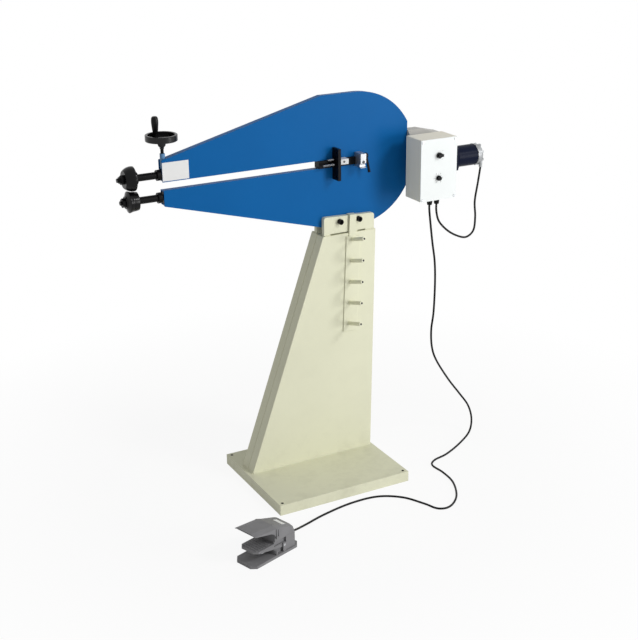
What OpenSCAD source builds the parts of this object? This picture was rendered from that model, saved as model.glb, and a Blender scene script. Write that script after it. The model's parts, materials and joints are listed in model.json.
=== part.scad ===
// Electric bead roller on a pedestal, with its foot pedal.
// Millimetres. The origin is the centre of the base tray on the floor, +Z is up,
// +X runs from the dies towards the motor and -Y is the operator's side.

/* [Stand] */
// length of the base tray along X
base_l = 485; // [380:5:640]
// width of the base tray along Y
base_w = 420; // [320:4:520]
// height of the base tray
base_h = 36; // [24:1:60]
// sheet thickness of the base tray
base_sheet = 4; // [2:0.5:6]
// radius of the four floor fixing holes
floor_hole_r = 4; // [3:0.5:6]
// distance of the fixing holes from the tray's edges
floor_hole_inset = 14; // [12:1:30]
// offset of the pedestal and frame from the tray's centre line
column_y = 72; // [40:2:80]
// depth of the pedestal along Y
column_depth = 80; // [76:2:110]
// sheet thickness of the pedestal shells
column_sheet = 3; // [2:0.5:5]
// foot of the slanted side, ahead of the tray's centre
foot_front = 226; // [160:2:232]
// foot of the upright side, behind the tray's centre
foot_rear = 235; // [200:1:238]
// top of the slanted side, behind the tray's centre
head_front = 54; // [20:2:80]
// top of the upright side, behind the tray's centre
head_rear = 252; // [236:2:300]
// height of the pedestal's top above the floor
column_top = 828; // [640:4:960]

/* [Clamp] */
// thickness of each clamp plate
clamp_t = 16; // [10:1:18]
// height of the clamp plates
clamp_h = 62; // [54:1:80]
// fall of the clamp plates' top edges towards the motor
clamp_fall = 7; // [0:0.5:10]
// distance of the clamp screws from the front edge of the clamp plates
clamp_screw_in = 58; // [30:1:62]
// distance between the two clamp screws
clamp_screw_pitch = 70; // [60:1:100]
// radius of the clamp screws' shanks
clamp_screw_r = 6; // [4:0.5:8]

/* [Frame] */
// thickness of the frame over both side plates
frame_t = 28; // [26:1:34]
// thickness of one side plate
plate_t = 3; // [2:0.5:4]
// depth of the frame's near face behind the pedestal's near face
face_in = 20; // [16:1:24]
// radius of the frame's round rear body
disc_r = 220; // [190:2:240]
// centre of the round body behind the tray's centre
disc_x = 190; // [170:2:210]
// gap between the pedestal's top and the frame's lowest edge
frame_lift = 16; // [8:1:24]
// reach of the arms ahead of the round body's centre
arm_reach = 668; // [520:4:760]
// distance of the upright rear edge behind the round body's centre
rear_reach = 193; // [170:1:200]
// height of the upper arm at its front end
upper_arm_h = 68; // [64:1:90]
// lead of the upper arm's end ahead of the lower arm's
upper_lead = 2; // [1:0.5:4]
// height of the lower arm at its front end
lower_arm_h = 50; // [46:1:64]
// height of the throat slot
throat_g = 25; // [18:1:28]
// closed end of the throat slot behind the round body's centre
throat_end = 35; // [20:1:45]
// thickness of the rim bands and the throat liner
rim_t = 4; // [3:0.5:5]
// depth of the rims, liner and far plate inside the near plate's edges
rim_recess = 2; // [1:0.5:4]

/* [Shafts and dies] */
// distance between the two shaft axes
shaft_pitch = 70; // [69:0.5:72]
// radius of both shafts ahead of the arms
shaft_r = 11; // [10:0.5:11]
// reach of the lower shaft ahead of the arms
shaft_reach = 136; // [124:1:150]
// radius of the shaft collars
collar_r = 16.5; // [14:0.5:18]
// width of one die
die_w = 42; // [38:1:46]
// radius of the upper die's ball
bead_r = 37.5; // [36:0.5:38]
// radius of the lower die's thin flange
groove_die_r = 33; // [30:0.5:33]
// teeth on each of the two equal spur gears
gear_teeth = 17; // [15:2:23]
// face width of the gears
gear_w = 28; // [18:1:32]

/* [Pressure screw] */
// distance of the pressure screw behind the upper arm's end
screw_in = 9; // [8:1:16]
// radius of the pressure screw
screw_r = 5; // [4.5:0.5:6]
// radius of the handwheel
wheel_r = 49; // [44:1:60]
// height of the handwheel's middle above the throat
wheel_up = 146; // [142:1:170]
// height of the handwheel's flat-sided rim
rim_high = 19; // [14:1:24]
// length of the spinner handle
spinner_l = 61; // [48:1:70]

/* [Fence] */
// fence plate position behind the tray's centre
fence_x = 101; // [60:1:110]
// height of the fence plate
fence_h = 103; // [80:1:120]
// reach of the fence plate ahead of the frame
fence_reach = 40; // [34:1:60]
// thickness of the fence plate
fence_t = 10; // [6:1:12]
// length of the clamp lever
lever_l = 57; // [45:1:80]

/* [Drive] */
// length of the gear case
case_l = 129; // [120:1:150]
// length of the gear head
head_l = 54; // [40:1:80]
// side of the square gear head and motor flange
head_side = 76; // [70:1:96]
// drop of the motor's axis below the lower shaft
motor_drop = 5; // [0:1:10]
// radius of the motor body
motor_r = 36; // [32:1:40]
// length of the motor body
motor_l = 84; // [60:1:120]
// length of the motor's end bell
bell_l = 25; // [20:1:32]

/* [Control box] */
// width of the control box along X
box_w = 138; // [120:1:150]
// depth of the control box along Y
box_d = 89; // [80:1:120]
// height of the control box
box_h = 203.5; // [190:0.5:240]
// gap between the control box and the frame's near face
box_gap = 44; // [36:1:50]
// drop of the control box's underside below the throat
box_drop = 135; // [120:1:150]
// overlap of the control box past the frame's rear edge
box_lap = 31; // [10:1:40]

/* [Foot pedal] */
// position of the pedal's toe end along X
pedal_x = -473; // [-520:0.5:-440]
// position of the pedal's toe end along Y
pedal_y = -422; // [-480:1:-400]
// yaw of the pedal about Z
pedal_yaw = 18.5; // [10:0.5:30]
// width of the pedal
pedal_w = 88; // [84:1:96]
// length of the pedal base
pedal_l = 200; // [196:1:210]
// height of the pedal's hood
hood_h = 114; // [108:1:122]

/* [Cords] */
// radius of both cords
cord_r = 3.5; // [2.5:0.25:4.5]

/* [Hidden] */
$fn = 72;
gap = 0.3;
seam = 0.4;

cream = [0.82, 0.81, 0.70];
blue = [0.06, 0.30, 0.60];
black = [0.05, 0.05, 0.06];
steel = [0.62, 0.63, 0.64];
grey = [0.42, 0.42, 0.45];

// heights and planes
throat_z = column_top + frame_lift + disc_r;
lower_z = throat_z - throat_g / 2 - lower_arm_h / 2 + 1;
upper_z = lower_z + shaft_pitch;
front_x = disc_x - arm_reach;
upper_front_x = front_x - upper_lead;
rear_x = disc_x + rear_reach;
column_near_y = column_y - column_depth / 2;
column_far_y = column_y + column_depth / 2;
near_y = column_near_y + face_in;
far_y = near_y + frame_t;
axis_y = near_y + frame_t / 2;
inner_near = near_y + plate_t;
inner_far = far_y - plate_t;

// frame outline: sloped top and bottom edges run into the round body
top_front_z = throat_z + throat_g / 2 + upper_arm_h;
bottom_front_z = throat_z - throat_g / 2 - lower_arm_h;
top_flat = 127;
bottom_flat = 90;
top_x = disc_x - top_flat;
bottom_x = disc_x - bottom_flat;
top_k = (throat_z + disc_r - top_front_z) / (top_x - front_x);
bottom_k = (bottom_front_z - throat_z + disc_r) / (bottom_x - front_x);
function top_edge(x, d) = top_front_z + top_k * (x - front_x) - d * sqrt(1 + top_k * top_k);
function bottom_edge(x, d) =
    bottom_front_z - bottom_k * (x - front_x) + d * sqrt(1 + bottom_k * bottom_k);
function top_corner(d) = front_x + (throat_z + disc_r - d - top_edge(front_x, d)) / top_k;
function bottom_corner(d) = front_x + (bottom_edge(front_x, d) - throat_z + disc_r - d) / bottom_k;
throat_end_x = disc_x + throat_end - throat_g / 2;

// a solid between two Y planes from an outline drawn in X and Z
module slab(y0, y1) {
    translate([0, y1, 0])
        rotate([90, 0, 0])
            linear_extrude(height = y1 - y0)
                children();
}

// a solid along X from an outline drawn in Y and Z
module bar_x(x0, x1) {
    translate([x0, 0, 0])
        rotate([90, 0, 90])
            linear_extrude(height = x1 - x0)
                children();
}

module cyl_x(x0, x1, r, z) {
    translate([x0, axis_y, z])
        rotate([0, 90, 0])
            cylinder(h = x1 - x0, r = r);
}

module cyl_y(x, z, y0, y1, r) {
    translate([x, y1, z])
        rotate([90, 0, 0])
            cylinder(h = y1 - y0, r = r);
}

module block(x0, x1, y0, y1, z0, z1) {
    translate([x0, y0, z0])
        cube([x1 - x0, y1 - y0, z1 - z0]);
}

// stand
floor_tube_r = floor_hole_r + 5;

module at_floor_holes() {
    for (sx = [-1, 1], sy = [-1, 1])
        translate([sx * (base_l / 2 - floor_hole_inset), sy * (base_w / 2 - floor_hole_inset), 0])
            children();
}

module base_tray() {
    color(cream)
        difference() {
            union() {
                difference() {
                    block(-base_l / 2, base_l / 2, -base_w / 2, base_w / 2, 0, base_h);
                    block(-base_l / 2 + base_sheet, base_l / 2 - base_sheet, -base_w / 2 + base_sheet,
                        base_w / 2 - base_sheet, -1, base_h - base_sheet);
                }
                at_floor_holes()
                    cylinder(h = base_h - 1, r = floor_tube_r);
            }
            at_floor_holes()
                translate([0, 0, -1])
                    cylinder(h = base_h + 2, r = floor_hole_r);
        }
}

front_k = sqrt(1 + pow((foot_front + head_front) / (column_top - base_h), 2));
rear_k = sqrt(1 + pow((head_rear - foot_rear) / (column_top - base_h), 2));

// side elevation of the pedestal, inset by d, between its foot and its top
module column_side(d, low, high) {
    polygon([[-foot_front + d * front_k, base_h + low], [foot_rear - d * rear_k, base_h + low],
        [head_rear - d * rear_k, column_top + high], [head_front + d * front_k, column_top + high]]);
}

module column_near() {
    color(cream)
        difference() {
            slab(column_near_y, column_y - seam / 2) column_side(0, 0, 0);
            slab(column_near_y + column_sheet, column_y) column_side(column_sheet, -1, 1);
        }
}

module column_far() {
    color(cream)
        difference() {
            slab(column_y + seam / 2, column_far_y) column_side(0, 0, 0);
            slab(column_y, column_far_y - column_sheet) column_side(column_sheet, -1, 1);
        }
}

cap_t = 6;
function column_front(z) =
    -foot_front + (foot_front + head_front) * (z - base_h) / (column_top - base_h);
function column_rear(z) = foot_rear + (head_rear - foot_rear) * (z - base_h) / (column_top - base_h);

module column_cap() {
    inset = column_sheet * front_k + gap;
    color(cream)
        block(column_front(column_top) + inset, column_rear(column_top - cap_t) - inset,
            column_near_y + column_sheet + gap, column_far_y - column_sheet - gap,
            column_top - cap_t, column_top);
}

// clamp plates on the pedestal's top, either side of the frame
clamp_x0 = head_front + 6;
far_clamp_lead = 4;
clamp_x1 = head_rear - 4;
clamp_corner = 8;
clamp_screw_z = column_top + frame_lift + 27;
foot_slot = 4.5;

clamp_lean = atan(clamp_fall / (clamp_x1 - clamp_x0 - 2 * clamp_corner));

module clamp_outline(x0) {
    front = [x0 + clamp_corner, column_top + clamp_h - clamp_corner];
    rear = [clamp_x1 - clamp_corner, front[1] - clamp_fall];
    edge = atan(clamp_fall / (rear[0] - front[0]));
    up = clamp_corner * [sin(edge), cos(edge)];
    difference() {
        union() {
            polygon([[x0, column_top], [clamp_x1, column_top], [clamp_x1, rear[1]], rear + up, front + up,
                [x0, front[1]]]);
            for (c = [front, rear])
                translate(c)
                    circle(r = clamp_corner);
        }
        translate([clamp_x0 + 23, column_top - 1])
            square([66, foot_slot + 1]);
        translate([clamp_x1 - 64, column_top - 1])
            square([30, foot_slot + 1]);
        for (i = [0, 1])
            translate([clamp_x0 + clamp_screw_in + i * clamp_screw_pitch, clamp_screw_z])
                circle(r = clamp_screw_r + 0.4);
    }
}

module clamp_near() {
    color(cream)
        slab(near_y - clamp_t, near_y) clamp_outline(clamp_x0);
}

module clamp_far() {
    color(cream)
        slab(far_y, far_y + clamp_t) clamp_outline(clamp_x0 - far_clamp_lead);
}

clamp_head_r = clamp_screw_r * 1.5;

module clamp_screws() {
    y0 = near_y - clamp_t;
    y1 = far_y + clamp_t;
    color(black)
        for (i = [0, 1]) {
            x = clamp_x0 + clamp_screw_in + i * clamp_screw_pitch;
            difference() {
                union() {
                    cyl_y(x, clamp_screw_z, y0 - clamp_screw_r * 2, y0, clamp_head_r);
                    cyl_y(x, clamp_screw_z, y0, y1 + clamp_screw_r * 2.4, clamp_screw_r);
                }
                translate([x, y0 - clamp_screw_r, clamp_screw_z])
                    rotate([90, 30, 0])
                        cylinder(h = clamp_screw_r * 2, r = clamp_screw_r * 0.96, $fn = 6);
            }
            translate([x, y1 + clamp_screw_r * 1.7, clamp_screw_z])
                rotate([90, 30, 0])
                    difference() {
                        cylinder(h = clamp_screw_r * 1.7, r = clamp_head_r * 1.12, $fn = 6);
                        translate([0, 0, -1])
                            cylinder(h = clamp_screw_r * 2 + 1, r = clamp_screw_r);
                    }
        }
}

module clamp_spacers() {
    color(steel)
        for (i = [0, 1])
            difference() {
                cyl_y(clamp_x0 + clamp_screw_in + i * clamp_screw_pitch, clamp_screw_z, inner_near,
                    inner_far, clamp_screw_r + 6);
                cyl_y(clamp_x0 + clamp_screw_in + i * clamp_screw_pitch, clamp_screw_z, inner_near - 1,
                    inner_far + 1, clamp_screw_r + 0.4);
            }
}

// die rack hung over the near clamp plate
rack_t = 3;
rack_w = 52;
neck_left = 16;
neck_right = 9;
rack_l = 332;
rack_off = 15.5;
rack_x = clamp_x0 + clamp_screw_in + clamp_screw_pitch / 2 + rack_off;
rack_y1 = min(column_near_y, near_y - clamp_t) - gap;
rack_y0 = rack_y1 - rack_t;
rack_top = column_top - 12;
rack_bottom = rack_top - rack_l;
peg_r = 6.5;
peg_l = 80;
peg_tilt = 16;
peg_pitch = 73.5;
peg_count = 5;
hook_z = column_top + clamp_h - clamp_corner + clamp_corner / cos(clamp_lean) + 0.1
    - (rack_x - clamp_x0 - clamp_corner) * tan(clamp_lean);

// the rack hangs square to the clamp plate's leaning top edge
module on_hook() {
    translate([rack_x, 0, hook_z])
        rotate([0, clamp_lean, 0])
            translate([-rack_x, 0, -hook_z])
                children();
}

module die_rack() {
    color(cream)
        on_hook() {
            block(rack_x - rack_w / 2, rack_x + rack_w / 2, rack_y0, rack_y1, rack_bottom, rack_top);
            block(rack_x - neck_left, rack_x + neck_right, rack_y0, rack_y1, rack_top - 1,
                hook_z + rack_t);
            block(rack_x - neck_left, rack_x + neck_right, rack_y0, near_y - 1, hook_z,
                hook_z + rack_t);
        }
}

module rack_pegs() {
    color(cream)
        on_hook()
            for (i = [0:peg_count - 1])
            difference() {
                translate([rack_x - 4, rack_y0, column_top - 23 - i * peg_pitch])
                    rotate([90 - peg_tilt, 0, 0])
                        difference() {
                            translate([0, 0, -4])
                                cylinder(h = peg_l + 4, r = peg_r);
                            translate([0, 0, peg_l - 26])
                                cylinder(h = 30, r = peg_r * 0.55);
                        }
                block(rack_x - 40, rack_x + 40, rack_y0, rack_y0 + 20, rack_bottom - 60, column_top + 40);
            }
}

// frame: two side plates, two rim bands and a throat liner
module frame_outline(d) {
    intersection() {
        union() {
            translate([disc_x, throat_z])
                circle(r = disc_r - d);
            polygon([[upper_front_x, throat_z], [upper_front_x, top_edge(upper_front_x, d)],
                [top_corner(d), throat_z + disc_r - d], [disc_x, throat_z + disc_r - d],
                [disc_x, throat_z - disc_r + d], [bottom_corner(d), throat_z - disc_r + d],
                [front_x, bottom_edge(front_x, d)], [front_x, throat_z]]);
        }
        translate([upper_front_x, throat_z - disc_r - 1])
            square([rear_x - d - upper_front_x, 2 * disc_r + 2]);
    }
}

module throat_outline(d) {
    translate([upper_front_x - 1, throat_z - throat_g / 2 - d])
        square([throat_end_x - upper_front_x + 1, throat_g + 2 * d]);
    translate([throat_end_x, throat_z])
        circle(r = throat_g / 2 + d);
}

module side_plate(y0, d) {
    difference() {
        slab(y0, y0 + plate_t)
            difference() {
                frame_outline(d);
                throat_outline(d);
            }
        for (i = [0, 1])
            cyl_y(clamp_x0 + clamp_screw_in + i * clamp_screw_pitch, clamp_screw_z, y0 - 1,
                y0 + plate_t + 1, clamp_screw_r + 0.4);
    }
}

module frame_near() {
    color(blue)
        side_plate(near_y, 0);
}

module frame_far() {
    color(blue)
        side_plate(inner_far, rim_recess);
}

screw_x = upper_front_x + screw_in;
boss_r = screw_r + 3;
core_r = frame_t / 2 - plate_t - 2.5;
rear_r = core_r - 2;

// the band is cut at the rear so that the shafts pass between its two halves
module rim_band() {
    difference() {
        frame_outline(rim_recess);
        frame_outline(rim_recess + rim_t);
        translate([upper_front_x - 1, throat_z - disc_r])
            square([upper_lead + 2, 2 * disc_r]);
    }
}

window = throat_z - lower_z + core_r + 14;

module rim_upper() {
    color(blue)
        difference() {
            slab(inner_near, inner_far)
                intersection() {
                    rim_band();
                    translate([upper_front_x, throat_z + window])
                        square([rear_x - upper_front_x, disc_r]);
                }
            translate([screw_x, axis_y, throat_z])
                cylinder(h = disc_r, r = boss_r + gap);
        }
}

module rim_lower() {
    color(blue)
        difference() {
            slab(inner_near, inner_far)
                intersection() {
                    rim_band();
                    translate([front_x, throat_z - disc_r])
                        square([rear_x - front_x, disc_r - throat_g]);
                }
            block(rear_x - 40, rear_x + 1, inner_near - 1, inner_far + 1, throat_z - window, throat_z);
        }
}

module throat_liner() {
    color(blue)
        slab(inner_near, inner_far)
            intersection() {
                difference() {
                    throat_outline(rim_recess + rim_t);
                    throat_outline(rim_recess);
                }
                translate([front_x, throat_z - throat_g])
                    square([arm_reach + throat_end + rim_recess + rim_t, 2 * throat_g]);
            }
}

module arm_plate() {
    color([0.93, 0.93, 0.92])
        block(upper_front_x + 0.5, front_x + 84, near_y - 0.8, near_y, throat_z + throat_g / 2 + 3,
            throat_z + throat_g / 2 + upper_arm_h - 8);
}

// shafts, with a die, nut and collar on each
tip_x = front_x - shaft_reach;
upper_tip_x = tip_x - 5;
journal_r = shaft_r - 1;
tip_l = 7;
die_x0 = tip_x + 16;
die_x1 = die_x0 + die_w;
die_mid = die_x0 + die_w * 0.62;
nut_w = 10;
nut_r = 15;
collar_w = 13;
collar_x1 = upper_front_x - 1.5;
collar_x0 = collar_x1 - collar_w;
rear_step = rear_x - 53;
gear_x0 = rear_x + 13;
gear_x1 = gear_x0 + gear_w;
coupling_x0 = gear_x1 + 8;
coupling_grip = 35;
shaft_end = coupling_x0 + coupling_grip;
upper_end = gear_x1 + 4;

module shaft(z, tip, rear) {
    union() {
        cyl_x(tip, tip + tip_l, journal_r * 0.65, z);
        cyl_x(tip + tip_l - 1, die_x1, journal_r, z);
        cyl_x(die_x1, collar_x1 + 0.5, shaft_r, z);
        cyl_x(collar_x1, rear_step, core_r, z);
        cyl_x(rear_step, rear, rear_r, z);
    }
}

module lower_shaft() {
    color(black)
        shaft(lower_z, tip_x, shaft_end);
}

module upper_shaft() {
    color(black)
        shaft(upper_z, upper_tip_x, upper_end);
}

// round profile about X: points are distance along X and radius
module turned_x(points, z) {
    translate([0, axis_y, z])
        rotate([0, 90, 0])
            rotate_extrude()
                polygon([for (p = points) [p[1], p[0]]]);
}

bore_r = journal_r + 0.05;

ball_back = 5.5;
die_hub_r = 18;

// ball-shaped upper die, cut flat at both ends
module upper_die() {
    color(black)
        difference() {
            union() {
                intersection() {
                    translate([die_mid, axis_y, upper_z])
                        sphere(r = bead_r);
                    cyl_x(die_x0, die_mid + ball_back, bead_r + 1, upper_z);
                }
                cyl_x(die_mid, die_x1, die_hub_r, upper_z);
            }
            cyl_x(die_x0 - 1, die_x1 + 1, bore_r, upper_z);
        }
}

// hollowed lower die with a thin flange at its front
module lower_die() {
    hollow = shaft_pitch - bead_r - 2.6;
    color(black)
        turned_x([[die_x0, bore_r], [die_x0, die_hub_r + 1], [die_x0 + 4, die_hub_r + 2],
            [die_x0 + 9.5, groove_die_r], [die_x0 + 11.5, groove_die_r], [die_x0 + 15, hollow + 2.1],
            [die_x0 + 20, hollow + 0.5], [die_mid, hollow], [die_mid + 5, hollow - 0.5],
            [die_mid + 9, hollow - 1.1], [die_mid + 11, hollow - 1.7], [die_mid + 13, hollow - 1.7],
            [die_x1, die_hub_r + 2], [die_x1, bore_r]], lower_z);
}

module die_nut(z) {
    difference() {
        translate([die_x0 - nut_w - gap, axis_y, z])
            rotate([0, 90, 0])
                cylinder(h = nut_w, r = nut_r, $fn = 6);
        cyl_x(die_x0 - nut_w - 2, die_x0 + 1, bore_r, z);
    }
}

module lower_nut() {
    color(black)
        die_nut(lower_z);
}

module upper_nut() {
    color(black)
        die_nut(upper_z);
}

module collar(z) {
    difference() {
        cyl_x(collar_x0, collar_x1, collar_r, z);
        cyl_x(collar_x0 - 1, collar_x1 + 1, shaft_r + 0.05, z);
        translate([(collar_x0 + collar_x1) / 2, axis_y, z])
            cylinder(h = collar_r + 1, r = 2.5);
    }
}

module lower_collar() {
    color(black)
        collar(lower_z);
}

module upper_collar() {
    color(black)
        collar(upper_z);
}

// bearing blocks between the side plates
bearing_l = 34;
bearing_x0 = front_x + 2;
lower_block_z0 = bottom_edge(front_x + 2, rim_recess + rim_t) + 1;
lower_block_z1 = throat_z - throat_g / 2 - rim_recess - rim_t - gap;

module lower_bearing() {
    color(black)
        difference() {
            block(bearing_x0, bearing_x0 + bearing_l, inner_near + gap, inner_far - gap, lower_block_z0,
                lower_block_z1);
            cyl_x(bearing_x0 - 1, bearing_x0 + bearing_l + 1, core_r + 0.08, lower_z);
        }
}

slide_x0 = upper_front_x + 1;
slide_z0 = upper_z - core_r - 4.5;
slide_z1 = upper_z + core_r + 5;
socket_d = 3;

module slide_block() {
    color(black)
        difference() {
            block(slide_x0, slide_x0 + bearing_l, inner_near + gap, inner_far - gap, slide_z0, slide_z1);
            cyl_x(slide_x0 - 1, slide_x0 + bearing_l + 1, core_r + 0.4, upper_z);
            translate([screw_x, axis_y, slide_z1 - socket_d])
                cylinder(h = socket_d + 1, r = screw_r - 1 + gap);
        }
}

ring_x = rear_x - 29;
ring_r = core_r + 0.4;
rear_block_half = 18;

module rear_bearing() {
    color(steel)
        difference() {
            block(ring_x - rear_block_half, ring_x + rear_block_half, inner_near + gap, inner_far - gap,
                lower_z - 22, upper_z + 22);
            cyl_x(ring_x - 30, ring_x + 30, rear_r + 0.08, lower_z);
            cyl_x(ring_x - 30, ring_x + 30, ring_r + gap, upper_z);
        }
}

module rear_ring() {
    color(steel)
        difference() {
            intersection() {
                translate([ring_x, axis_y, upper_z])
                    sphere(r = ring_r);
                block(ring_x - 8, ring_x + 8, axis_y - 20, axis_y + 20, upper_z - 20, upper_z + 20);
            }
            cyl_x(ring_x - 20, ring_x + 20, rear_r + 0.08, upper_z);
        }
}

// equal spur gears that tie the two shafts together, involute flanks
gear_m = shaft_pitch / gear_teeth;
pitch_r = shaft_pitch / 2;
base_r = pitch_r * cos(20);
gear_tip_r = pitch_r + gear_m * 0.9;
root_r = pitch_r - gear_m * 1.2;
backlash = 0.4;
function inv(a) = tan(a) * 180 / PI - a;
function flank(r) = 90 / gear_teeth + inv(20) - backlash - (r > base_r ? inv(acos(base_r / r)) : 0);
flank_steps = 5;
flank_rs = concat([root_r], [for (i = [0:flank_steps]) base_r + (gear_tip_r - base_r) * i / flank_steps]);
function tooth(i) = concat(
    [for (r = flank_rs) let (a = 90 + i * 360 / gear_teeth + flank(r)) [r * cos(a), r * sin(a)]],
    [for (k = [len(flank_rs) - 1:-1:0]) let (r = flank_rs[k], a = 90 + i * 360 / gear_teeth - flank(r))
        [r * cos(a), r * sin(a)]]);
gear_points = [for (i = [gear_teeth - 1:-1:0]) each tooth(i)];

module spur_gear(z) {
    difference() {
        union() {
            bar_x(gear_x0, gear_x1)
                translate([axis_y, z])
                    polygon(gear_points);
            cyl_x(gear_x0 - 5, gear_x0 + 1, rear_r + 7, z);
        }
        cyl_x(gear_x0 - 6, gear_x1 + 1, rear_r + 0.05, z);
    }
}

module drive_gear() {
    color(steel)
        spur_gear(lower_z);
}

module driven_gear() {
    color(steel)
        spur_gear(upper_z);
}

coupling_x1 = rear_x + case_l - 5;

module coupling() {
    color(steel)
        union() {
            difference() {
                cyl_x(coupling_x0, coupling_x1, 18, lower_z);
                cyl_x(coupling_x0 - 1, shaft_end + gap, rear_r + 0.05, lower_z);
            }
            cyl_x(coupling_x1 - 1, rear_x + case_l + 20, 9, lower_z);
        }
}

// pressure screw over the upper arm's front end
boss_z0 = slide_z1 + 6;
boss_z1 = top_edge(screw_x, 0) + 16;
wheel_z = throat_z + wheel_up;

module screw_boss() {
    color([0.35, 0.55, 0.78])
        difference() {
            translate([screw_x, axis_y, boss_z0])
                cylinder(h = boss_z1 - boss_z0, r = boss_r);
            translate([screw_x, axis_y, boss_z0 - 1])
                cylinder(h = boss_z1 - boss_z0 + 2, r = screw_r + gap);
        }
}

wheel_low = 34;
wheel_bore = screw_r - 1.4;

module pressure_screw() {
    color(black)
        translate([screw_x, axis_y, 0])
            union() {
                translate([0, 0, slide_z1 - socket_d + 0.5])
                    cylinder(h = socket_d + 2, r = screw_r - 1);
                translate([0, 0, slide_z1 + 1])
                    cylinder(h = wheel_z - wheel_low - gap - slide_z1 - 1, r = screw_r);
                translate([0, 0, wheel_z - wheel_low - 1])
                    cylinder(h = wheel_low, r = wheel_bore - 0.1);
            }
}

rim_wide = 8;
web_top = -rim_high * 0.13;
web_low = web_top - 4;
spinner_dx = -6;
spinner_dy = wheel_r - 17.5;
stud_r = 3;

// closed wheel with a tall flat-sided rim, and the stud of its spinner
module handwheel() {
    inner = wheel_r - rim_wide;
    half = rim_high / 2;
    color(black)
        translate([screw_x, axis_y, wheel_z])
            union() {
                rotate_extrude()
                    polygon([[wheel_bore, -wheel_low], [6.5, -wheel_low], [6.5, -30], [11, -25], [12.8, -19],
                        [13, -10],
                        [13, web_low], [inner, web_low], [inner, 1.5 - half], [inner + 1.5, -half],
                        [wheel_r - 1.5, -half], [wheel_r, 1.5 - half], [wheel_r, half - 1.5],
                        [wheel_r - 1.5, half], [inner + 1.5, half], [inner, half - 1.5],
                        [inner, web_top], [wheel_bore, web_top]]);
                translate([spinner_dx, spinner_dy, web_top - 1])
                    cylinder(h = spinner_l * 0.84, r = stud_r);
            }
}

module spinner() {
    l = spinner_l;
    b = stud_r + gap;
    color(black)
        translate([screw_x + spinner_dx, axis_y + spinner_dy, wheel_z + web_top + gap])
            rotate_extrude()
                polygon([[b, 0], [6, 0], [6, l * 0.13], [7.8, l * 0.2], [9.2, l * 0.36], [11, l * 0.66],
                    [11, l * 0.77], [10.3, l * 0.9], [8.5, l * 0.97], [6, l * 0.995], [0, l],
                    [0, l * 0.86], [b, l * 0.86]]);
}

// fence that slides along the throat slot
bar_half = throat_g / 2 - gap;
bar_x0 = fence_x - 52;
block_x0 = fence_x + 82;
block_x1 = block_x0 + 20;
block_y0 = near_y - 41;
block_z0 = throat_z - 19;
block_z1 = throat_z + 27;
fence_y1 = near_y - gap;

module fence_bar() {
    color(black)
        difference() {
            block(bar_x0, block_x0 - gap, near_y - 6, far_y - 4, throat_z - bar_half, throat_z + bar_half);
            block(fence_x - gap, fence_x + fence_t + gap, near_y - 7, near_y + 8, throat_z - 20,
                throat_z + 20);
        }
}

bolt_seats = [[-22, 0, 46], [-16, 15, 26]];

module fence_plate() {
    color(black)
        difference() {
            union() {
                block(fence_x, fence_x + fence_t, near_y - fence_reach, fence_y1, throat_z - fence_h / 2,
                    throat_z + fence_h / 2);
                for (p = bolt_seats) {
                    translate([fence_x - p[2], near_y + p[0], throat_z + p[1]])
                        rotate([0, 90, 0])
                            cylinder(h = p[2] + 1, r = 3);
                    translate([fence_x - 5, near_y + p[0], throat_z + p[1]])
                        rotate([0, 90, 0])
                            cylinder(h = 6, r = 6, $fn = 6);
                }
            }
            for (s = [-1, 1])
                translate([fence_x - 1, near_y - fence_reach + 12, throat_z + s * (fence_h / 2 - 12)])
                    rotate([0, 90, 0])
                        cylinder(h = fence_t + 2, r = 3);
        }
}

spacer_l = 32;

module fence_spacer() {
    x0 = fence_x + fence_t + gap;
    color([0.9, 0.9, 0.9])
        difference() {
            block(x0, x0 + spacer_l, near_y - 32, near_y - 6 - gap, throat_z - 1, throat_z + 16);
            cyl_y(x0 + spacer_l / 2, throat_z + 7.5, near_y - 33, near_y - 23, 4);
        }
}

keeper_r = 5;
keeper_x = (block_x0 + block_x1) / 2;
pivot_z = block_z1 - 10;
pivot_y = block_y0 + 14;
lever_lean = 12;

module clamp_block() {
    color(steel)
        difference() {
            union() {
                block(block_x0, block_x1, block_y0, fence_y1, block_z0, block_z1);
                block(block_x0, block_x1, fence_y1 - 1, far_y - 4, throat_z - bar_half, throat_z + bar_half);
            }
            cyl_y(keeper_x, throat_z, block_y0 - 1, far_y, keeper_r + 0.2);
            translate([block_x0 - 1, block_y0, block_z0 + 8])
                rotate([0, 90, 0])
                    cylinder(h = 30, r = 7);
            translate([block_x0 - 1, block_y0 - 5, block_z1])
                rotate([45, 0, 0])
                    cube([30, 10, 8]);
            translate([block_x1 - 12, pivot_y, pivot_z])
                rotate([0, 90, 0])
                    cylinder(h = 14, r = 4.3);
        }
}

module clamp_lever() {
    color(black)
        union() {
            translate([block_x1 - 11, pivot_y, pivot_z])
                rotate([0, 90, 0])
                    cylinder(h = 23, r = 4);
            translate([block_x1 + gap, pivot_y, pivot_z])
                rotate([0, 90, 0])
                    cylinder(h = 12, r = 7);
            translate([block_x1 + 8, pivot_y, pivot_z])
                rotate([0, -lever_lean, 0]) {
                    translate([-2.75, -3.5, -lever_l + 8])
                        cube([5.5, 7, lever_l + 1]);
                    translate([0, 0, -lever_l])
                        cylinder(h = lever_l * 0.42, r1 = 4.8, r2 = 3.8);
                }
        }
}

module fence_keeper() {
    color(steel)
        union() {
            block(block_x0 - 10, block_x1 + 10, far_y + gap, far_y + 6, throat_z - 28, throat_z + 28);
            cyl_y(keeper_x, throat_z, block_y0 + 8, far_y + 1, keeper_r);
            translate([keeper_x, far_y + 13, throat_z])
                rotate([90, 0, 0])
                    cylinder(h = 8, r = 9, $fn = 6);
        }
}

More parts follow.
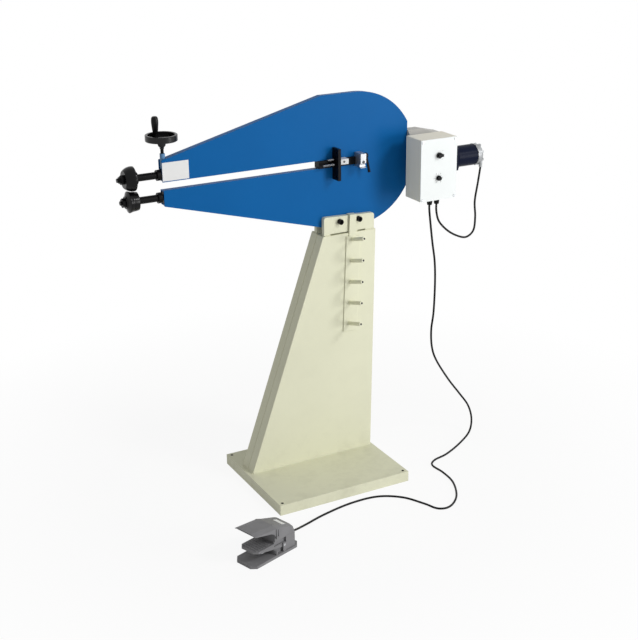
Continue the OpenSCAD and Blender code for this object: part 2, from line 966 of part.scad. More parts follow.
// drive unit behind the frame
cavity_r = gear_tip_r + 1.6;
case_half = gear_tip_r + 3.2;
case_x1 = rear_x + case_l;
case_top = upper_z + case_half;
case_low = lower_z - case_half;
case_drop = 22;
slope_x = coupling_x0;

module twin_round(r) {
    for (z = [lower_z, upper_z])
        translate([axis_y, z])
            circle(r = r);
    translate([axis_y - r, lower_z])
        square([2 * r, upper_z - lower_z]);
}

// upright section of the case with its long corners cut at 45 degrees
module case_section(h) {
    c = h * (1 - tan(22.5));
    polygon([[axis_y - h + c, case_low], [axis_y + h - c, case_low], [axis_y + h, case_low + c],
        [axis_y + h, case_top - c], [axis_y + h - c, case_top], [axis_y - h + c, case_top],
        [axis_y - h, case_top - c], [axis_y - h, case_low + c]]);
}

// flat over the gears, then falling towards the motor
module gear_case() {
    color([0.62, 0.61, 0.62])
        difference() {
            bar_x(rear_x, case_x1) case_section(case_half);
            bar_x(rear_x + 6, coupling_x0 - 2) twin_round(cavity_r);
            cyl_x(coupling_x0 - 3, case_x1 + 1, cavity_r, lower_z);
            for (z = [lower_z, upper_z])
                cyl_x(rear_x - 1, rear_x + 7, rear_r + 3, z);
            slab(axis_y - case_half - 1, axis_y + case_half + 1)
                polygon([[slope_x, case_top], [case_x1 + 1, case_top - case_drop],
                    [case_x1 + 1, case_top + 1], [slope_x, case_top + 1]]);
        }
}

motor_z = lower_z - motor_drop;
head_x1 = case_x1 + head_l;
flange_t = 8;
flange_x1 = head_x1 + flange_t;

module gear_head() {
    color([0.62, 0.61, 0.62])
        difference() {
            union() {
                block(case_x1 + 6, head_x1, axis_y - head_side / 2, axis_y + head_side / 2,
                    motor_z - head_side / 2, motor_z + head_side / 2);
                block(case_x1, case_x1 + 7, axis_y - case_half, axis_y + case_half, case_low,
                    case_top - case_drop - 1);
            }
            cyl_x(case_x1 - 1, case_x1 + 24, 10, lower_z);
        }
}

module motor_flange() {
    hole = head_side / 2 - 8;
    color(black)
        union() {
            block(head_x1, flange_x1, axis_y - head_side / 2, axis_y + head_side / 2,
                motor_z - head_side / 2, motor_z + head_side / 2);
            for (sy = [-1, 1], sz = [-1, 1])
                translate([flange_x1 - 1, axis_y + sy * hole, motor_z + sz * hole])
                    rotate([0, 90, 0])
                        cylinder(h = 6, r = 4.5, $fn = 6);
        }
}

motor_x1 = flange_x1 + motor_l;

module motor_body() {
    color([0.08, 0.09, 0.14])
        turned_x([[flange_x1, 0], [flange_x1, motor_r - 2], [flange_x1 + 6, motor_r], [motor_x1 - 3, motor_r],
            [motor_x1, motor_r - 2], [motor_x1, 0]], motor_z);
}

bell_x1 = motor_x1 + bell_l;
gland_x = motor_x1 + bell_l * 0.72;
motor_gland_y = axis_y - 22;
motor_gland_z = motor_z - motor_r - 5.5;

module motor_bell() {
    rib_r = motor_r + 1.5;
    color([0.66, 0.67, 0.68])
        difference() {
            union() {
                turned_x([[motor_x1, 0], [motor_x1, motor_r], [motor_x1 + bell_l * 0.5, motor_r],
                    [bell_x1 - 3, motor_r - 6], [bell_x1, motor_r - 10], [bell_x1, 0]], motor_z);
                for (i = [0:7])
                    translate([0, axis_y, motor_z])
                        rotate([i * 45 + 22.5, 0, 0])
                            block(motor_x1, bell_x1 - 4, -4, 4, motor_r - 12, rib_r);
                translate([gland_x, motor_gland_y, motor_gland_z])
                    cylinder(h = 28, r = 6);
            }
            cyl_x(bell_x1 - 6, bell_x1 + 1, motor_r * 0.5, motor_z);
        }
}

// control box beside the gear case
box_x0 = rear_x - box_lap;
box_x1 = box_x0 + box_w;
box_y1 = near_y - box_gap;
box_y0 = box_y1 - box_d;
box_z0 = throat_z - box_drop;
box_z1 = box_z0 + box_h;
box_sheet = 2;
panel_t = 2;

module box_bracket() {
    face_y = axis_y - case_half;
    x0 = rear_x + 10;
    x1 = box_x1 - 12;
    color(grey)
        union() {
            block(x0, x1, face_y - 3, face_y, lower_z + 6, upper_z - 6);
            block(x0, x1, box_y1, box_y1 + 3, lower_z + 6, upper_z - 6);
            block(x0, x0 + 3, box_y1 + 1, face_y - 1, lower_z + 6, upper_z - 6);
        }
}

module control_box() {
    color([0.68, 0.68, 0.62])
        difference() {
            block(box_x0, box_x1, box_y0, box_y1, box_z0, box_z1);
            block(box_x0 + box_sheet, box_x1 - box_sheet, box_y0 - 1, box_y1 - box_sheet, box_z0 + box_sheet,
                box_z1 - box_sheet);
        }
}

knob_x = (box_x0 + box_x1) / 2 - 1;
speed_z = box_z0 + 74;
selector_z = speed_z + 75;
stem_r = 4;

module front_panel() {
    color([0.93, 0.94, 0.94])
        difference() {
            block(box_x0, box_x1, box_y0 - panel_t, box_y0, box_z0, box_z1);
            for (z = [selector_z, speed_z])
                cyl_y(knob_x, z, box_y0 - panel_t - 1, box_y0 + 1, stem_r + gap);
        }
}

module panel_screws() {
    color(steel)
        for (x = [box_x0 + 7, box_x1 - 7], z = [box_z0 + 7, box_z1 - 7])
            difference() {
                cyl_y(x, z, box_y0 - panel_t - 2, box_y0 - panel_t, 4);
                block(x - 5, x + 5, box_y0 - panel_t - 3, box_y0 - panel_t - 1, z - 0.6, z + 0.6);
            }
}

disc_face_r = 9.5;
knob_r = 8.5;

module selector() {
    y1 = box_y0 - panel_t - gap;
    color(black)
        union() {
            cyl_y(knob_x, selector_z, y1 - 7, y1, disc_face_r);
            cyl_y(knob_x, selector_z, y1 - 1, box_y0 + 8, stem_r);
            translate([knob_x, y1 - 13, selector_z])
                rotate([0, -4, 0])
                    translate([-7, 0, -4.25])
                        cube([18, 7, 8.5]);
        }
}

module speed_knob() {
    y1 = box_y0 - panel_t - gap;
    color(black)
        difference() {
            union() {
                cyl_y(knob_x, speed_z, y1 - 4, y1, knob_r);
                cyl_y(knob_x, speed_z, y1 - 11, y1, knob_r * 0.82);
                cyl_y(knob_x, speed_z, y1 - 1, box_y0 + 8, stem_r);
            }
            translate([knob_x, y1 - 10, speed_z])
                rotate([0, -35, 0])
                    translate([0, -3, -0.7])
                        cube([knob_r, 3, 1.4]);
            for (i = [0:11])
                translate([knob_x, y1 - 4.4, speed_z])
                    rotate([90, i * 30 + 10, 0])
                        translate([knob_r * 0.9, 0, 0])
                            cylinder(h = 12, r = 1.2);
        }
}

// cord glands under the box, in front of the bracket
gland_y = box_y0 + 26;
gland_xs = [box_x0 + 54, box_x0 + 81];
gland_h = 20;
gland_z = box_z0 - gland_h;

module box_glands() {
    color(black)
        for (x = gland_xs)
            translate([x, gland_y, gland_z])
                union() {
                    translate([0, 0, gland_h - 5])
                        cylinder(h = 5, r = 11, $fn = 6);
                    cylinder(h = gland_h - 4.5, r1 = 8, r2 = 10);
                }
}

// foot pedal: local X runs from the toe end to the cord end
module at_pedal() {
    translate([pedal_x, pedal_y, 0])
        rotate([0, 0, pedal_yaw])
            children();
}

sole = 9;
seam_z = 55;
body_x0 = pedal_l * 0.48;
body_x1 = pedal_l - 20;
step_x = body_x0 + 46;
half_w = pedal_w / 2;
body_half = half_w - 4;
neck_half = half_w - 11;
wall = 4;
pin_x = body_x0 + 38;
pin_z = 30;
pin_r = 4;
exit_z = 34;
gland_l = 11;

module pedal_sole() {
    cut = 15;
    polygon([[0, -half_w + cut], [cut, -half_w], [pedal_l - cut, -half_w], [pedal_l, -half_w + cut],
        [pedal_l, half_w - cut], [pedal_l - cut, half_w], [cut, half_w], [0, half_w - cut]]);
}

// block on both sides of the pedal's middle, from w0 to w1 off the centre
module ears(x0, x1, w0, w1, z0, z1) {
    block(x0, x1, w0, w1, z0, z1);
    block(x0, x1, -w1, -w0, z0, z1);
}

module pedal_base() {
    color(grey)
        at_pedal()
            difference() {
                union() {
                    linear_extrude(height = sole)
                        pedal_sole();
                    block(body_x0, step_x + 1, -neck_half, neck_half, sole - 1, seam_z);
                    block(step_x, body_x1, -body_half, body_half, sole - 1, seam_z);
                    ears(pin_x - 6, pin_x + 6, half_w - 6, half_w - 2, sole - 1, pin_z + 8);
                    ears(body_x0 + 2, body_x0 + 7, half_w - 6, half_w - 2, sole - 1, sole + 14);
                    translate([body_x1 - 1, 0, exit_z])
                        rotate([0, 90, 0])
                            cylinder(h = gland_l + 1, r = 8);
                }
                block(body_x0 + wall, body_x1 - wall, -neck_half + wall, neck_half - wall, sole, seam_z + 1);
                translate([pin_x, half_w + 1, pin_z])
                    rotate([90, 0, 0])
                        cylinder(h = pedal_w + 2, r = pin_r + 0.05);
            }
}

toe_x = pedal_l * 0.0475;
brow_x = body_x0 + 4;
brow_z = hood_h - 8;
back_x = body_x1 - 10;
back_z = hood_h - 31;
crown_half = half_w - 17;
crown_tilt = 16.4;

// takes the hood's long top corners off along a falling line
module crown_cut(x, z, fall) {
    translate([x, 0, z])
        rotate([0, fall, 0])
            for (s = [-1, 1])
                translate([0, s * crown_half, 0])
                    rotate([-s * crown_tilt, 0, 0])
                        translate([-150, s > 0 ? 0 : -40, 0])
                            cube([300, 40, 30]);
}

module hood_slab(half) {
    translate([0, half, 0])
        rotate([90, 0, 0])
            linear_extrude(height = 2 * half)
                children();
}

strap_x0 = body_x0 + 1;
strap_z0 = hood_h - 46;
strap_z1 = hood_h - 10;

module pedal_hood() {
    fall_a = atan((hood_h - brow_z) / (brow_x - toe_x));
    fall_b = atan((brow_z - back_z) / (back_x - brow_x));
    color(grey)
        at_pedal()
            difference() {
                union() {
                    hood_slab(half_w)
                        polygon([[toe_x, hood_h - 6], [toe_x, hood_h], [brow_x, brow_z],
                            [brow_x + 12, brow_z - 12 * tan(fall_b)], [brow_x + 12, hood_h - 26],
                            [body_x0 - 2, hood_h - 38], [body_x0 - 6, hood_h - 30],
                            [body_x0 - 18, hood_h - 22.5]]);
                    hood_slab(body_half)
                        polygon([[body_x0 - 2, seam_z + gap], [body_x1, seam_z + gap],
                            [body_x1, seam_z + 2], [back_x, back_z], [brow_x, brow_z],
                            [body_x0 - 2, brow_z]]);
                    ears(strap_x0, strap_x0 + 12, body_half - 1, half_w + 2.5, strap_z0, strap_z1);
                }
                hood_slab(body_half)
                    polygon([[-1, hood_h - 44], [-1, hood_h - 4], [body_x0 - 2, brow_z - wall],
                        [body_x0 - 2, hood_h - 44]]);
                hood_slab(body_half - wall)
                    polygon([[body_x0 + 2, seam_z - 1], [body_x1 - wall, seam_z - 1],
                        [back_x - wall, back_z - wall + 1], [brow_x - 1, brow_z - wall],
                        [body_x0 + 2, brow_z - wall]]);
                ears(strap_x0 + 4, strap_x0 + 8, half_w + 0.5, half_w + 4, strap_z0 + 6, strap_z1 - 6);
                crown_cut(toe_x, hood_h, fall_a);
                crown_cut(brow_x, brow_z, fall_b);
            }
}

treadle_x0 = pedal_l * 0.085;
treadle_x1 = body_x0 - 2.5;
treadle_half = half_w - 7;
treadle_z = 42;
treadle_t = 6;
treadle_cut = 12;
arm_t = 4;

// side of the treadle: shallow at the toe, deeper towards the hinge
module treadle_side() {
    polygon([[treadle_x0 + treadle_cut, treadle_z], [pin_x - 10, pin_z - 6], [pin_x + 6, pin_z - 6],
        [pin_x + 6, pin_z + 8], [treadle_x1, pin_z + 8], [treadle_x1, treadle_z + 1],
        [treadle_x0 + treadle_cut, treadle_z + 1]]);
}

module pedal_treadle() {
    color(grey)
        at_pedal()
            difference() {
                union() {
                    translate([0, 0, treadle_z])
                        linear_extrude(treadle_t)
                            polygon([[treadle_x0 + treadle_cut, -treadle_half], [treadle_x1, -treadle_half],
                                [treadle_x1, treadle_half], [treadle_x0 + treadle_cut, treadle_half],
                                [treadle_x0, treadle_half - treadle_cut],
                                [treadle_x0, treadle_cut - treadle_half]]);
                    slab(treadle_half + 0.5 - arm_t, treadle_half + 0.5) treadle_side();
                    slab(-treadle_half - 0.5, arm_t - treadle_half - 0.5) treadle_side();
                    for (i = [0:5])
                        block(treadle_x0 + 10 + i * 10, treadle_x0 + 14 + i * 10, 8 - treadle_half,
                            treadle_half - 8, treadle_z + treadle_t - 1, treadle_z + treadle_t + 1.5);
                }
                translate([pin_x, half_w, pin_z])
                    rotate([90, 0, 0])
                        cylinder(h = pedal_w, r = pin_r + 0.08);
            }
}

module pedal_pin() {
    color(steel)
        at_pedal()
            translate([pin_x, half_w - 2, pin_z])
                rotate([90, 0, 0])
                    cylinder(h = pedal_w - 4, r = pin_r);
}

// swept round tube along a list of points
function unit(v) = v / norm(v);
function tangent(p, i) = unit(p[min(i + 1, len(p) - 1)] - p[max(i - 1, 0)]);
function side(t) = unit(cross(t, abs(t[2]) > 0.9 ? [1, 0, 0] : [0, 0, 1]));
function frames(p, i = 0, n = undef) = i == len(p) ? [] :
    let (t = tangent(p, i), m = n == undef ? side(t) : unit(n - t * (n * t)))
    concat([[m, cross(t, m)]], frames(p, i + 1, m));
function ring(c, f, r, sides) =
    [for (k = [0:sides - 1]) c + r * (cos(k * 360 / sides) * f[0] + sin(k * 360 / sides) * f[1])];

module tube(path, r, sides) {
    f = frames(path);
    n = len(path);
    polyhedron(
        points = [for (i = [0:n - 1]) each ring(path[i], f[i], r, sides)],
        faces = concat(
            [[for (k = [0:sides - 1]) k]],
            [for (i = [0:n - 2], k = [0:sides - 1])
                [i * sides + k, (i + 1) * sides + k, (i + 1) * sides + (k + 1) % sides]],
            [for (i = [0:n - 2], k = [0:sides - 1])
                [i * sides + k, (i + 1) * sides + (k + 1) % sides, i * sides + (k + 1) % sides]],
            [[for (k = [sides - 1:-1:0]) (n - 1) * sides + k]]));
}

spring_r = 9;
spring_wire = 1.2;
spring_x = 74;
spring_turns = 5;
spring_steps = 12;
spring_low = sole + spring_wire + 0.1;
spring_high = treadle_z - spring_wire - 0.1;
spring_path = [for (i = [0:spring_turns * spring_steps])
    let (a = i * 360 / spring_steps, t = i / (spring_turns * spring_steps))
    [spring_x + spring_r * cos(a), spring_r * sin(a), spring_low + (spring_high - spring_low) * t]];

module pedal_spring() {
    color(steel)
        at_pedal()
            tube(spring_path, spring_wire, 6);
}

// cord routes: round figures, drawn as smooth curves through the points
function between(a, b, c, d, t) = 0.5 * ((2 * b) + (c - a) * t + (2 * a - 5 * b + 4 * c - d) * t * t
    + (3 * b - a - 3 * c + d) * t * t * t);
function smooth(p, steps) = concat(
    [for (i = [0:len(p) - 2], k = [0:steps - 1])
        between(p[max(i - 1, 0)], p[i], p[i + 1], p[min(i + 2, len(p) - 1)], k / steps)],
    [p[len(p) - 1]]);

exit_u = body_x1 + gland_l;
pedal_exit = [pedal_x + exit_u * cos(pedal_yaw), pedal_y + exit_u * sin(pedal_yaw), exit_z];
lay = cord_r + 0.5;
pedal_route = [
    [gland_xs[0], gland_y, gland_z],
    [gland_xs[0] + 1, gland_y + 1, gland_z - 24],
    [427, -44, gland_z - 130],
    [445, -35, gland_z - 210],
    [451, -31, gland_z - 290],
    [446, -34, gland_z - 390],
    [434, -40, gland_z - 454],
    [440, -38, gland_z - 520],
    [470, -24, gland_z - 582],
    [539, 1, 232],
    [600, 20, 158],
    [644, 24, 98],
    [648, 4, 52],
    [616, -30, 20],
    [550, -68, lay + 2],
    [463, -113, lay],
    [400, -132, lay],
    [371, -162, lay],
    [374, -225, lay],
    [364, -300, lay],
    [320, -385, lay],
    [264, -431, lay],
    [222, -424, lay],
    [199, -372, lay],
    [160, -304, lay],
    [90, -259, lay],
    [-10, -255, lay],
    [-119, -277, lay],
    [-199, -306, lay + 2],
    [pedal_exit[0] + 30 * cos(pedal_yaw), pedal_exit[1] + 30 * sin(pedal_yaw), exit_z - 7],
    pedal_exit];
motor_route = [
    [gland_xs[1], gland_y, gland_z],
    [gland_xs[1] + 2, gland_y + 2, gland_z - 28],
    [452, -45, gland_z - 67],
    [495, -32, gland_z - 108],
    [545, -19, gland_z - 138],
    [590, -8, gland_z - 152],
    [628, 5, gland_z - 137],
    [643, 18, gland_z - 94],
    [646, 28, gland_z - 42],
    [gland_x - 11, motor_gland_y - 4, gland_z + 20],
    [gland_x, motor_gland_y, motor_gland_z]];

module pedal_cord() {
    color(black)
        tube(smooth(pedal_route, 2), cord_r, 8);
}

module motor_cord() {
    color(black)
        tube(smooth(motor_route, 2), cord_r, 8);
}

base_tray();
column_near();
column_far();
column_cap();
clamp_near();
clamp_far();
clamp_screws();
clamp_spacers();
die_rack();
rack_pegs();
frame_near();
frame_far();
rim_upper();
rim_lower();
throat_liner();
arm_plate();
lower_shaft();
lower_die();
lower_nut();
lower_collar();
lower_bearing();
rear_bearing();
drive_gear();
coupling();
upper_shaft();
upper_die();
upper_nut();
upper_collar();
slide_block();
rear_ring();
driven_gear();
screw_boss();
pressure_screw();
handwheel();
spinner();
fence_bar();
fence_plate();
fence_spacer();
clamp_block();
clamp_lever();
fence_keeper();
gear_case();
gear_head();
motor_flange();
motor_body();
motor_bell();
box_bracket();
control_box();
front_panel();
panel_screws();
selector();
speed_knob();
box_glands();
pedal_base();
pedal_hood();
pedal_treadle();
pedal_pin();
pedal_spring();
motor_cord();
pedal_cord();
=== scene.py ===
import json
import math
import bmesh
import bpy
from mathutils import Matrix, Vector

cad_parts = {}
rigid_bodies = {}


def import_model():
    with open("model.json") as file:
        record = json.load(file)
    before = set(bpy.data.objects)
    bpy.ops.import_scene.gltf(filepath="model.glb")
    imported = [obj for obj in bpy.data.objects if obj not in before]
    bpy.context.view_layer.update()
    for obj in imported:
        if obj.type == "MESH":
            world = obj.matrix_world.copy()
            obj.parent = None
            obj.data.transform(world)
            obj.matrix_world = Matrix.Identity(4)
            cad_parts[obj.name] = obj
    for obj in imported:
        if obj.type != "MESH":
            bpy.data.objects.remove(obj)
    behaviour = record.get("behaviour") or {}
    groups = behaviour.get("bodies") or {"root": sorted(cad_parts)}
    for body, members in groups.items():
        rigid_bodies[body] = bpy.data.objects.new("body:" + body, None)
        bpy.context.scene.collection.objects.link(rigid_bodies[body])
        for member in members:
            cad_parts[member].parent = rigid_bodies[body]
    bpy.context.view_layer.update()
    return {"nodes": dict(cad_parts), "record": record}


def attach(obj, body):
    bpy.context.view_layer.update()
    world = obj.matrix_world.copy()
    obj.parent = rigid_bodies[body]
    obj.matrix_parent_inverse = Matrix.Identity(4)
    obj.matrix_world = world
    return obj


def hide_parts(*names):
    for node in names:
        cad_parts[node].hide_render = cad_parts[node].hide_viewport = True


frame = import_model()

nodes = frame["nodes"]
mm = 0.001


# a shader socket that can be added, subtracted and scaled
class Field:
    def __init__(self, paint, socket):
        self.paint = paint
        self.socket = socket

    def combine(self, operation, other, swapped=False):
        pair = {0: other, 1: self} if swapped else {0: self, 1: other}
        return self.paint.add("ShaderNodeMath", {"operation": operation}, pair)

    def __add__(self, other): return self.combine("ADD", other)
    def __radd__(self, other): return self.combine("ADD", other, True)
    def __sub__(self, other): return self.combine("SUBTRACT", other)
    def __mul__(self, other): return self.combine("MULTIPLY", other)


class Paint:
    def __init__(self, name):
        self.material = bpy.data.materials.new(name)
        self.material.use_nodes = True
        self.tree = self.material.node_tree
        self.tree.nodes.clear()
        self.place = self.add("ShaderNodeTexCoord", {}, {}, "Object")

    def add(self, kind, settings=None, inputs=None, output=0):
        node = self.tree.nodes.new(kind)
        for key, value in (settings or {}).items():
            setattr(node, key, value)
        for key, value in (inputs or {}).items():
            if isinstance(value, Field):
                self.tree.links.new(value.socket, node.inputs[key])
            else:
                node.inputs[key].default_value = value
        return Field(self, node.outputs[output])

    def stretched(self, scale):
        return self.add("ShaderNodeMapping", {}, {"Vector": self.place, "Scale": scale})

    def noise(self, scale, detail=3.0, rough=0.55, where=None):
        return self.add("ShaderNodeTexNoise", {}, {"Vector": where or self.place, "Scale": scale,
                                                   "Detail": detail, "Roughness": rough}, "Fac")

    def ramp(self, field, low, high, toLow=0.0, toHigh=1.0):
        return self.add("ShaderNodeMapRange", {"clamp": True},
                        {"Value": field, "From Min": low, "From Max": high, "To Min": toLow, "To Max": toHigh})

    def mix(self, factor, first, second):
        return self.add("ShaderNodeMix", {"data_type": "RGBA"}, {0: factor, 6: first, 7: second}, 2)

    def bump(self, height, strength, distance):
        return self.add("ShaderNodeBump", {}, {"Height": height, "Strength": strength, "Distance": distance})

    def calc(self, operation, field):
        return self.add("ShaderNodeMath", {"operation": operation}, {0: field})

    def along(self, axis):
        return self.add("ShaderNodeSeparateXYZ", {}, {"Vector": self.place}, axis)

    def shade(self, **sockets):
        shader = self.add("ShaderNodeBsdfPrincipled", {}, {k.replace("_", " "): v for k, v in sockets.items()})
        self.tree.links.new(shader.socket, self.tree.nodes.new("ShaderNodeOutputMaterial").inputs["Surface"])
        return self.material


def rgb(r, g, b):
    return (r, g, b, 1.0)


def tint(colour, factor):
    return (colour[0] * factor, colour[1] * factor, colour[2] * factor, 1.0)


# sprayed paint: faint cloudiness, orange peel, scuffs and a little dust
def sprayPaint(name, colour, roughness, peel, specular, clouds=0.04, dirt=0.72):
    p = Paint(name)
    cloud = p.ramp(p.noise(5.0, 4.0), 0.3, 0.7)
    speck = p.ramp(p.noise(70.0, 6.0, 0.7), 0.60, 0.78)
    base = p.mix(cloud, tint(colour, 1 - clouds), tint(colour, 1 + clouds))
    base = p.mix(speck * 0.10, base, tint(colour, dirt))
    scuff = p.ramp(p.noise(1.0, 5.0, 0.6, p.stretched((90.0, 90.0, 14.0))), 0.62, 0.72)
    rough = roughness + p.noise(18.0, 3.0) * 0.10 - 0.05 + scuff * 0.10
    height = p.noise(900.0, 2.0) * 0.5 + p.noise(200.0, 2.0) * 0.5
    return p.shade(Base_Color=base, Roughness=rough, Normal=p.bump(height, peel, 0.0006),
                   Specular_IOR_Level=specular)


# powder coat on the stand: fine texture, grime low down, scuffs and painted shade inside the corner holes of the
# tray
def standPaint(name, colour, roughness, peel, specular, holes):
    p = Paint(name)
    cloud = p.ramp(p.noise(3.5, 4.0), 0.3, 0.7)
    base = p.mix(cloud, tint(colour, 0.975), tint(colour, 1.02))
    low = p.ramp(p.along("Z"), 0.0, 0.16, 1.0, 0.0)
    grime = p.ramp(p.noise(16.0, 7.0, 0.68), 0.46, 0.74) * (low * 0.22 + 0.05)
    base = p.mix(grime, base, rgb(colour[0] * 0.55, colour[1] * 0.53, colour[2] * 0.50))
    rub = p.ramp(p.noise(1.0, 5.0, 0.62, p.stretched((22.0, 22.0, 90.0))), 0.64, 0.72)
    base = p.mix(rub * 0.05, base, tint(colour, 1.06))
    across = p.calc("ABSOLUTE", p.along("X")) - holes["x"] * mm
    along = p.calc("ABSOLUTE", p.along("Y")) - holes["y"] * mm
    away = p.calc("SQRT", across * across + along * along)
    # painted shade: the corner bores of the tray are darkened nearly to black, fading out just past their rims
    holeShade = p.ramp(away, holes["radius"] * mm, holes["radius"] * 1.12 * mm, 1.0, 0.0)
    base = p.mix(holeShade, base, rgb(0.004, 0.004, 0.004))
    rough = roughness + p.noise(24.0, 3.0) * 0.10 - 0.05 - rub * 0.08
    height = p.noise(1100.0, 2.0) * 0.6 + p.noise(260.0, 2.0) * 0.4
    return p.shade(Base_Color=base, Roughness=rough, Normal=p.bump(height, peel, 0.0005),
                   Specular_IOR_Level=specular)


# blackened or oiled steel: fine turning lines, oil smears and rubbed bright spots
def oiledSteel(name, colour, roughness, rubbed, specular, lines=(2600.0, 22.0, 22.0)):
    p = Paint(name)
    grain = p.noise(1.0, 3.0, 0.6, p.stretched(lines))
    smear = p.ramp(p.noise(34.0, 5.0, 0.62), 0.42, 0.70)
    base = p.mix(smear * rubbed, colour, tint(colour, 3.0))
    base = p.mix(p.ramp(p.noise(240.0, 4.0), 0.62, 0.75) * 0.5, base, tint(colour, 0.4))
    rough = roughness + grain * 0.14 - 0.07 - smear * 0.08
    return p.shade(Base_Color=base, Roughness=rough, Normal=p.bump(grain, 0.16, 0.0004),
                   Specular_IOR_Level=specular)


def brushedMetal(name, colour, roughness, scale=(900.0, 30.0, 30.0)):
    p = Paint(name)
    grain = p.noise(1.0, 4.0, 0.6, p.stretched(scale))
    smear = p.noise(26.0, 4.0)
    base = p.mix(p.ramp(grain, 0.3, 0.7), tint(colour, 0.86), tint(colour, 1.08))
    base = p.mix(p.ramp(smear, 0.55, 0.8) * 0.35, base, tint(colour, 0.62))
    rough = roughness + grain * 0.18 - 0.09 + p.ramp(smear, 0.5, 0.8) * 0.12
    return p.shade(Base_Color=base, Roughness=rough, Metallic=0.9, Normal=p.bump(grain, 0.15, 0.0004))


# cast metal with a coat of paint over a pebbled skin
def castPaint(name, colour, roughness, pebble, specular=0.3, metallic=0.0):
    p = Paint(name)
    skin = p.noise(520.0, 4.0, 0.6)
    lumps = p.noise(80.0, 3.0)
    cloud = p.ramp(p.noise(14.0, 4.0), 0.3, 0.7)
    base = p.mix(cloud, tint(colour, 0.90), tint(colour, 1.10))
    base = p.mix(p.ramp(skin, 0.60, 0.78) * 0.35, base, tint(colour, 0.62))
    rough = roughness + skin * 0.16 - 0.08
    return p.shade(Base_Color=base, Roughness=rough, Metallic=metallic, Specular_IOR_Level=specular,
                   Normal=p.bump(skin * 0.7 + lumps * 0.5, pebble, 0.0010))


def mouldedPlastic(name, colour, roughness, specular):
    p = Paint(name)
    grain = p.noise(1500.0, 2.0)
    wear = p.ramp(p.noise(45.0, 5.0, 0.65), 0.58, 0.75)
    base = p.mix(wear * 0.5, colour, tint(colour, 1.9))
    rough = roughness + grain * 0.12 - 0.06 - wear * 0.08
    return p.shade(Base_Color=base, Roughness=rough, Normal=p.bump(grain, 0.22, 0.0003),
                   Specular_IOR_Level=specular)


# black wheel: satin enamel with a hand-polished gleam
def wheelEnamel(name, colour, roughness, specular):
    p = Paint(name)
    wave = p.noise(120.0, 2.0)
    dust = p.ramp(p.noise(90.0, 6.0, 0.7), 0.60, 0.8)
    hand = p.ramp(p.noise(22.0, 3.0), 0.45, 0.7)
    base = p.mix(dust * 0.10, colour, rgb(0.03, 0.03, 0.033))
    rough = roughness + dust * 0.2 - hand * 0.08 + wave * 0.05
    return p.shade(Base_Color=base, Roughness=rough, Specular_IOR_Level=specular,
                   Normal=p.bump(wave, 0.08, 0.0008))


def cordJacket(name, colour):
    p = Paint(name)
    skin = p.noise(900.0, 2.0)
    dust = p.ramp(p.noise(30.0, 6.0, 0.7), 0.5, 0.8)
    base = p.mix(dust * 0.5, colour, tint(colour, 2.6))
    rough = 0.42 + dust * 0.15
    return p.shade(Base_Color=base, Roughness=rough, Normal=p.bump(skin, 0.12, 0.0003),
                   Specular_IOR_Level=0.15)


finishes = {
    # the last argument places the painted shade in the tray's corner bores
    "cream_paint": standPaint("cream powder coat", rgb(0.735, 0.735, 0.560), 0.50, 0.14, 0.18,
                              {"x": 228.5, "y": 196.0, "radius": 4.6}),
    "blue_paint": sprayPaint("blue spray paint", rgb(0.0045, 0.112, 0.345), 0.34, 0.08, 0.05, 0.03),
    "boss_paint": sprayPaint("pale blue paint", rgb(0.120, 0.270, 0.480), 0.36, 0.12, 0.2),
    "black_steel": oiledSteel("blackened steel", rgb(0.0030, 0.0030, 0.0034), 0.32, 0.6, 0.10),
    "die_steel": oiledSteel("oiled die steel", rgb(0.0026, 0.0026, 0.0030), 0.20, 0.7, 0.16),
    "bright_steel": brushedMetal("machined steel", rgb(0.52, 0.53, 0.55), 0.34),
    "wheel_black": wheelEnamel("black wheel enamel", rgb(0.0035, 0.0035, 0.0040), 0.26, 0.30),
    "black_plastic": mouldedPlastic("moulded black plastic", rgb(0.0040, 0.0040, 0.0045), 0.30, 0.14),
    "fence_black": sprayPaint("black paint", rgb(0.0035, 0.0035, 0.0050), 0.36, 0.12, 0.10, 0.15),
    "block_alloy": brushedMetal("machined aluminium", rgb(0.50, 0.51, 0.53), 0.42, (60.0, 60.0, 900.0)),
    "spacer_white": mouldedPlastic("pale nylon", rgb(0.66, 0.66, 0.66), 0.5, 0.3),
    "case_paint": castPaint("grey casting paint", rgb(0.50, 0.49, 0.46), 0.46, 0.22, 0.2),
    "motor_paint": sprayPaint("blue-black motor paint", rgb(0.0060, 0.0090, 0.0240), 0.30, 0.10, 0.05, 0.12),
    "bell_alloy": castPaint("bare die casting", rgb(0.36, 0.37, 0.38), 0.40, 0.26, 0.4, 0.35),
    "box_paint": sprayPaint("beige powder coat", rgb(0.900, 0.865, 0.740), 0.48, 0.18, 0.2, 0.02),
    "panel_white": sprayPaint("white panel paint", rgb(0.820, 0.850, 0.845), 0.42, 0.1, 0.2, 0.015, 0.85),
    "plate_white": sprayPaint("white plate paint", rgb(0.800, 0.800, 0.795), 0.34, 0.06, 0.2, 0.02, 0.85),
    "pedal_cast": castPaint("grey pedal paint", rgb(0.215, 0.213, 0.220), 0.46, 0.26, 0.12),
    "cord_rubber": cordJacket("cord jacket", rgb(0.0040, 0.0040, 0.0040)),
}
markInk = sprayPaint("printed marks", rgb(0.020, 0.020, 0.022), 0.5, 0.05, 0.1)
print("finishes made:", len(finishes))

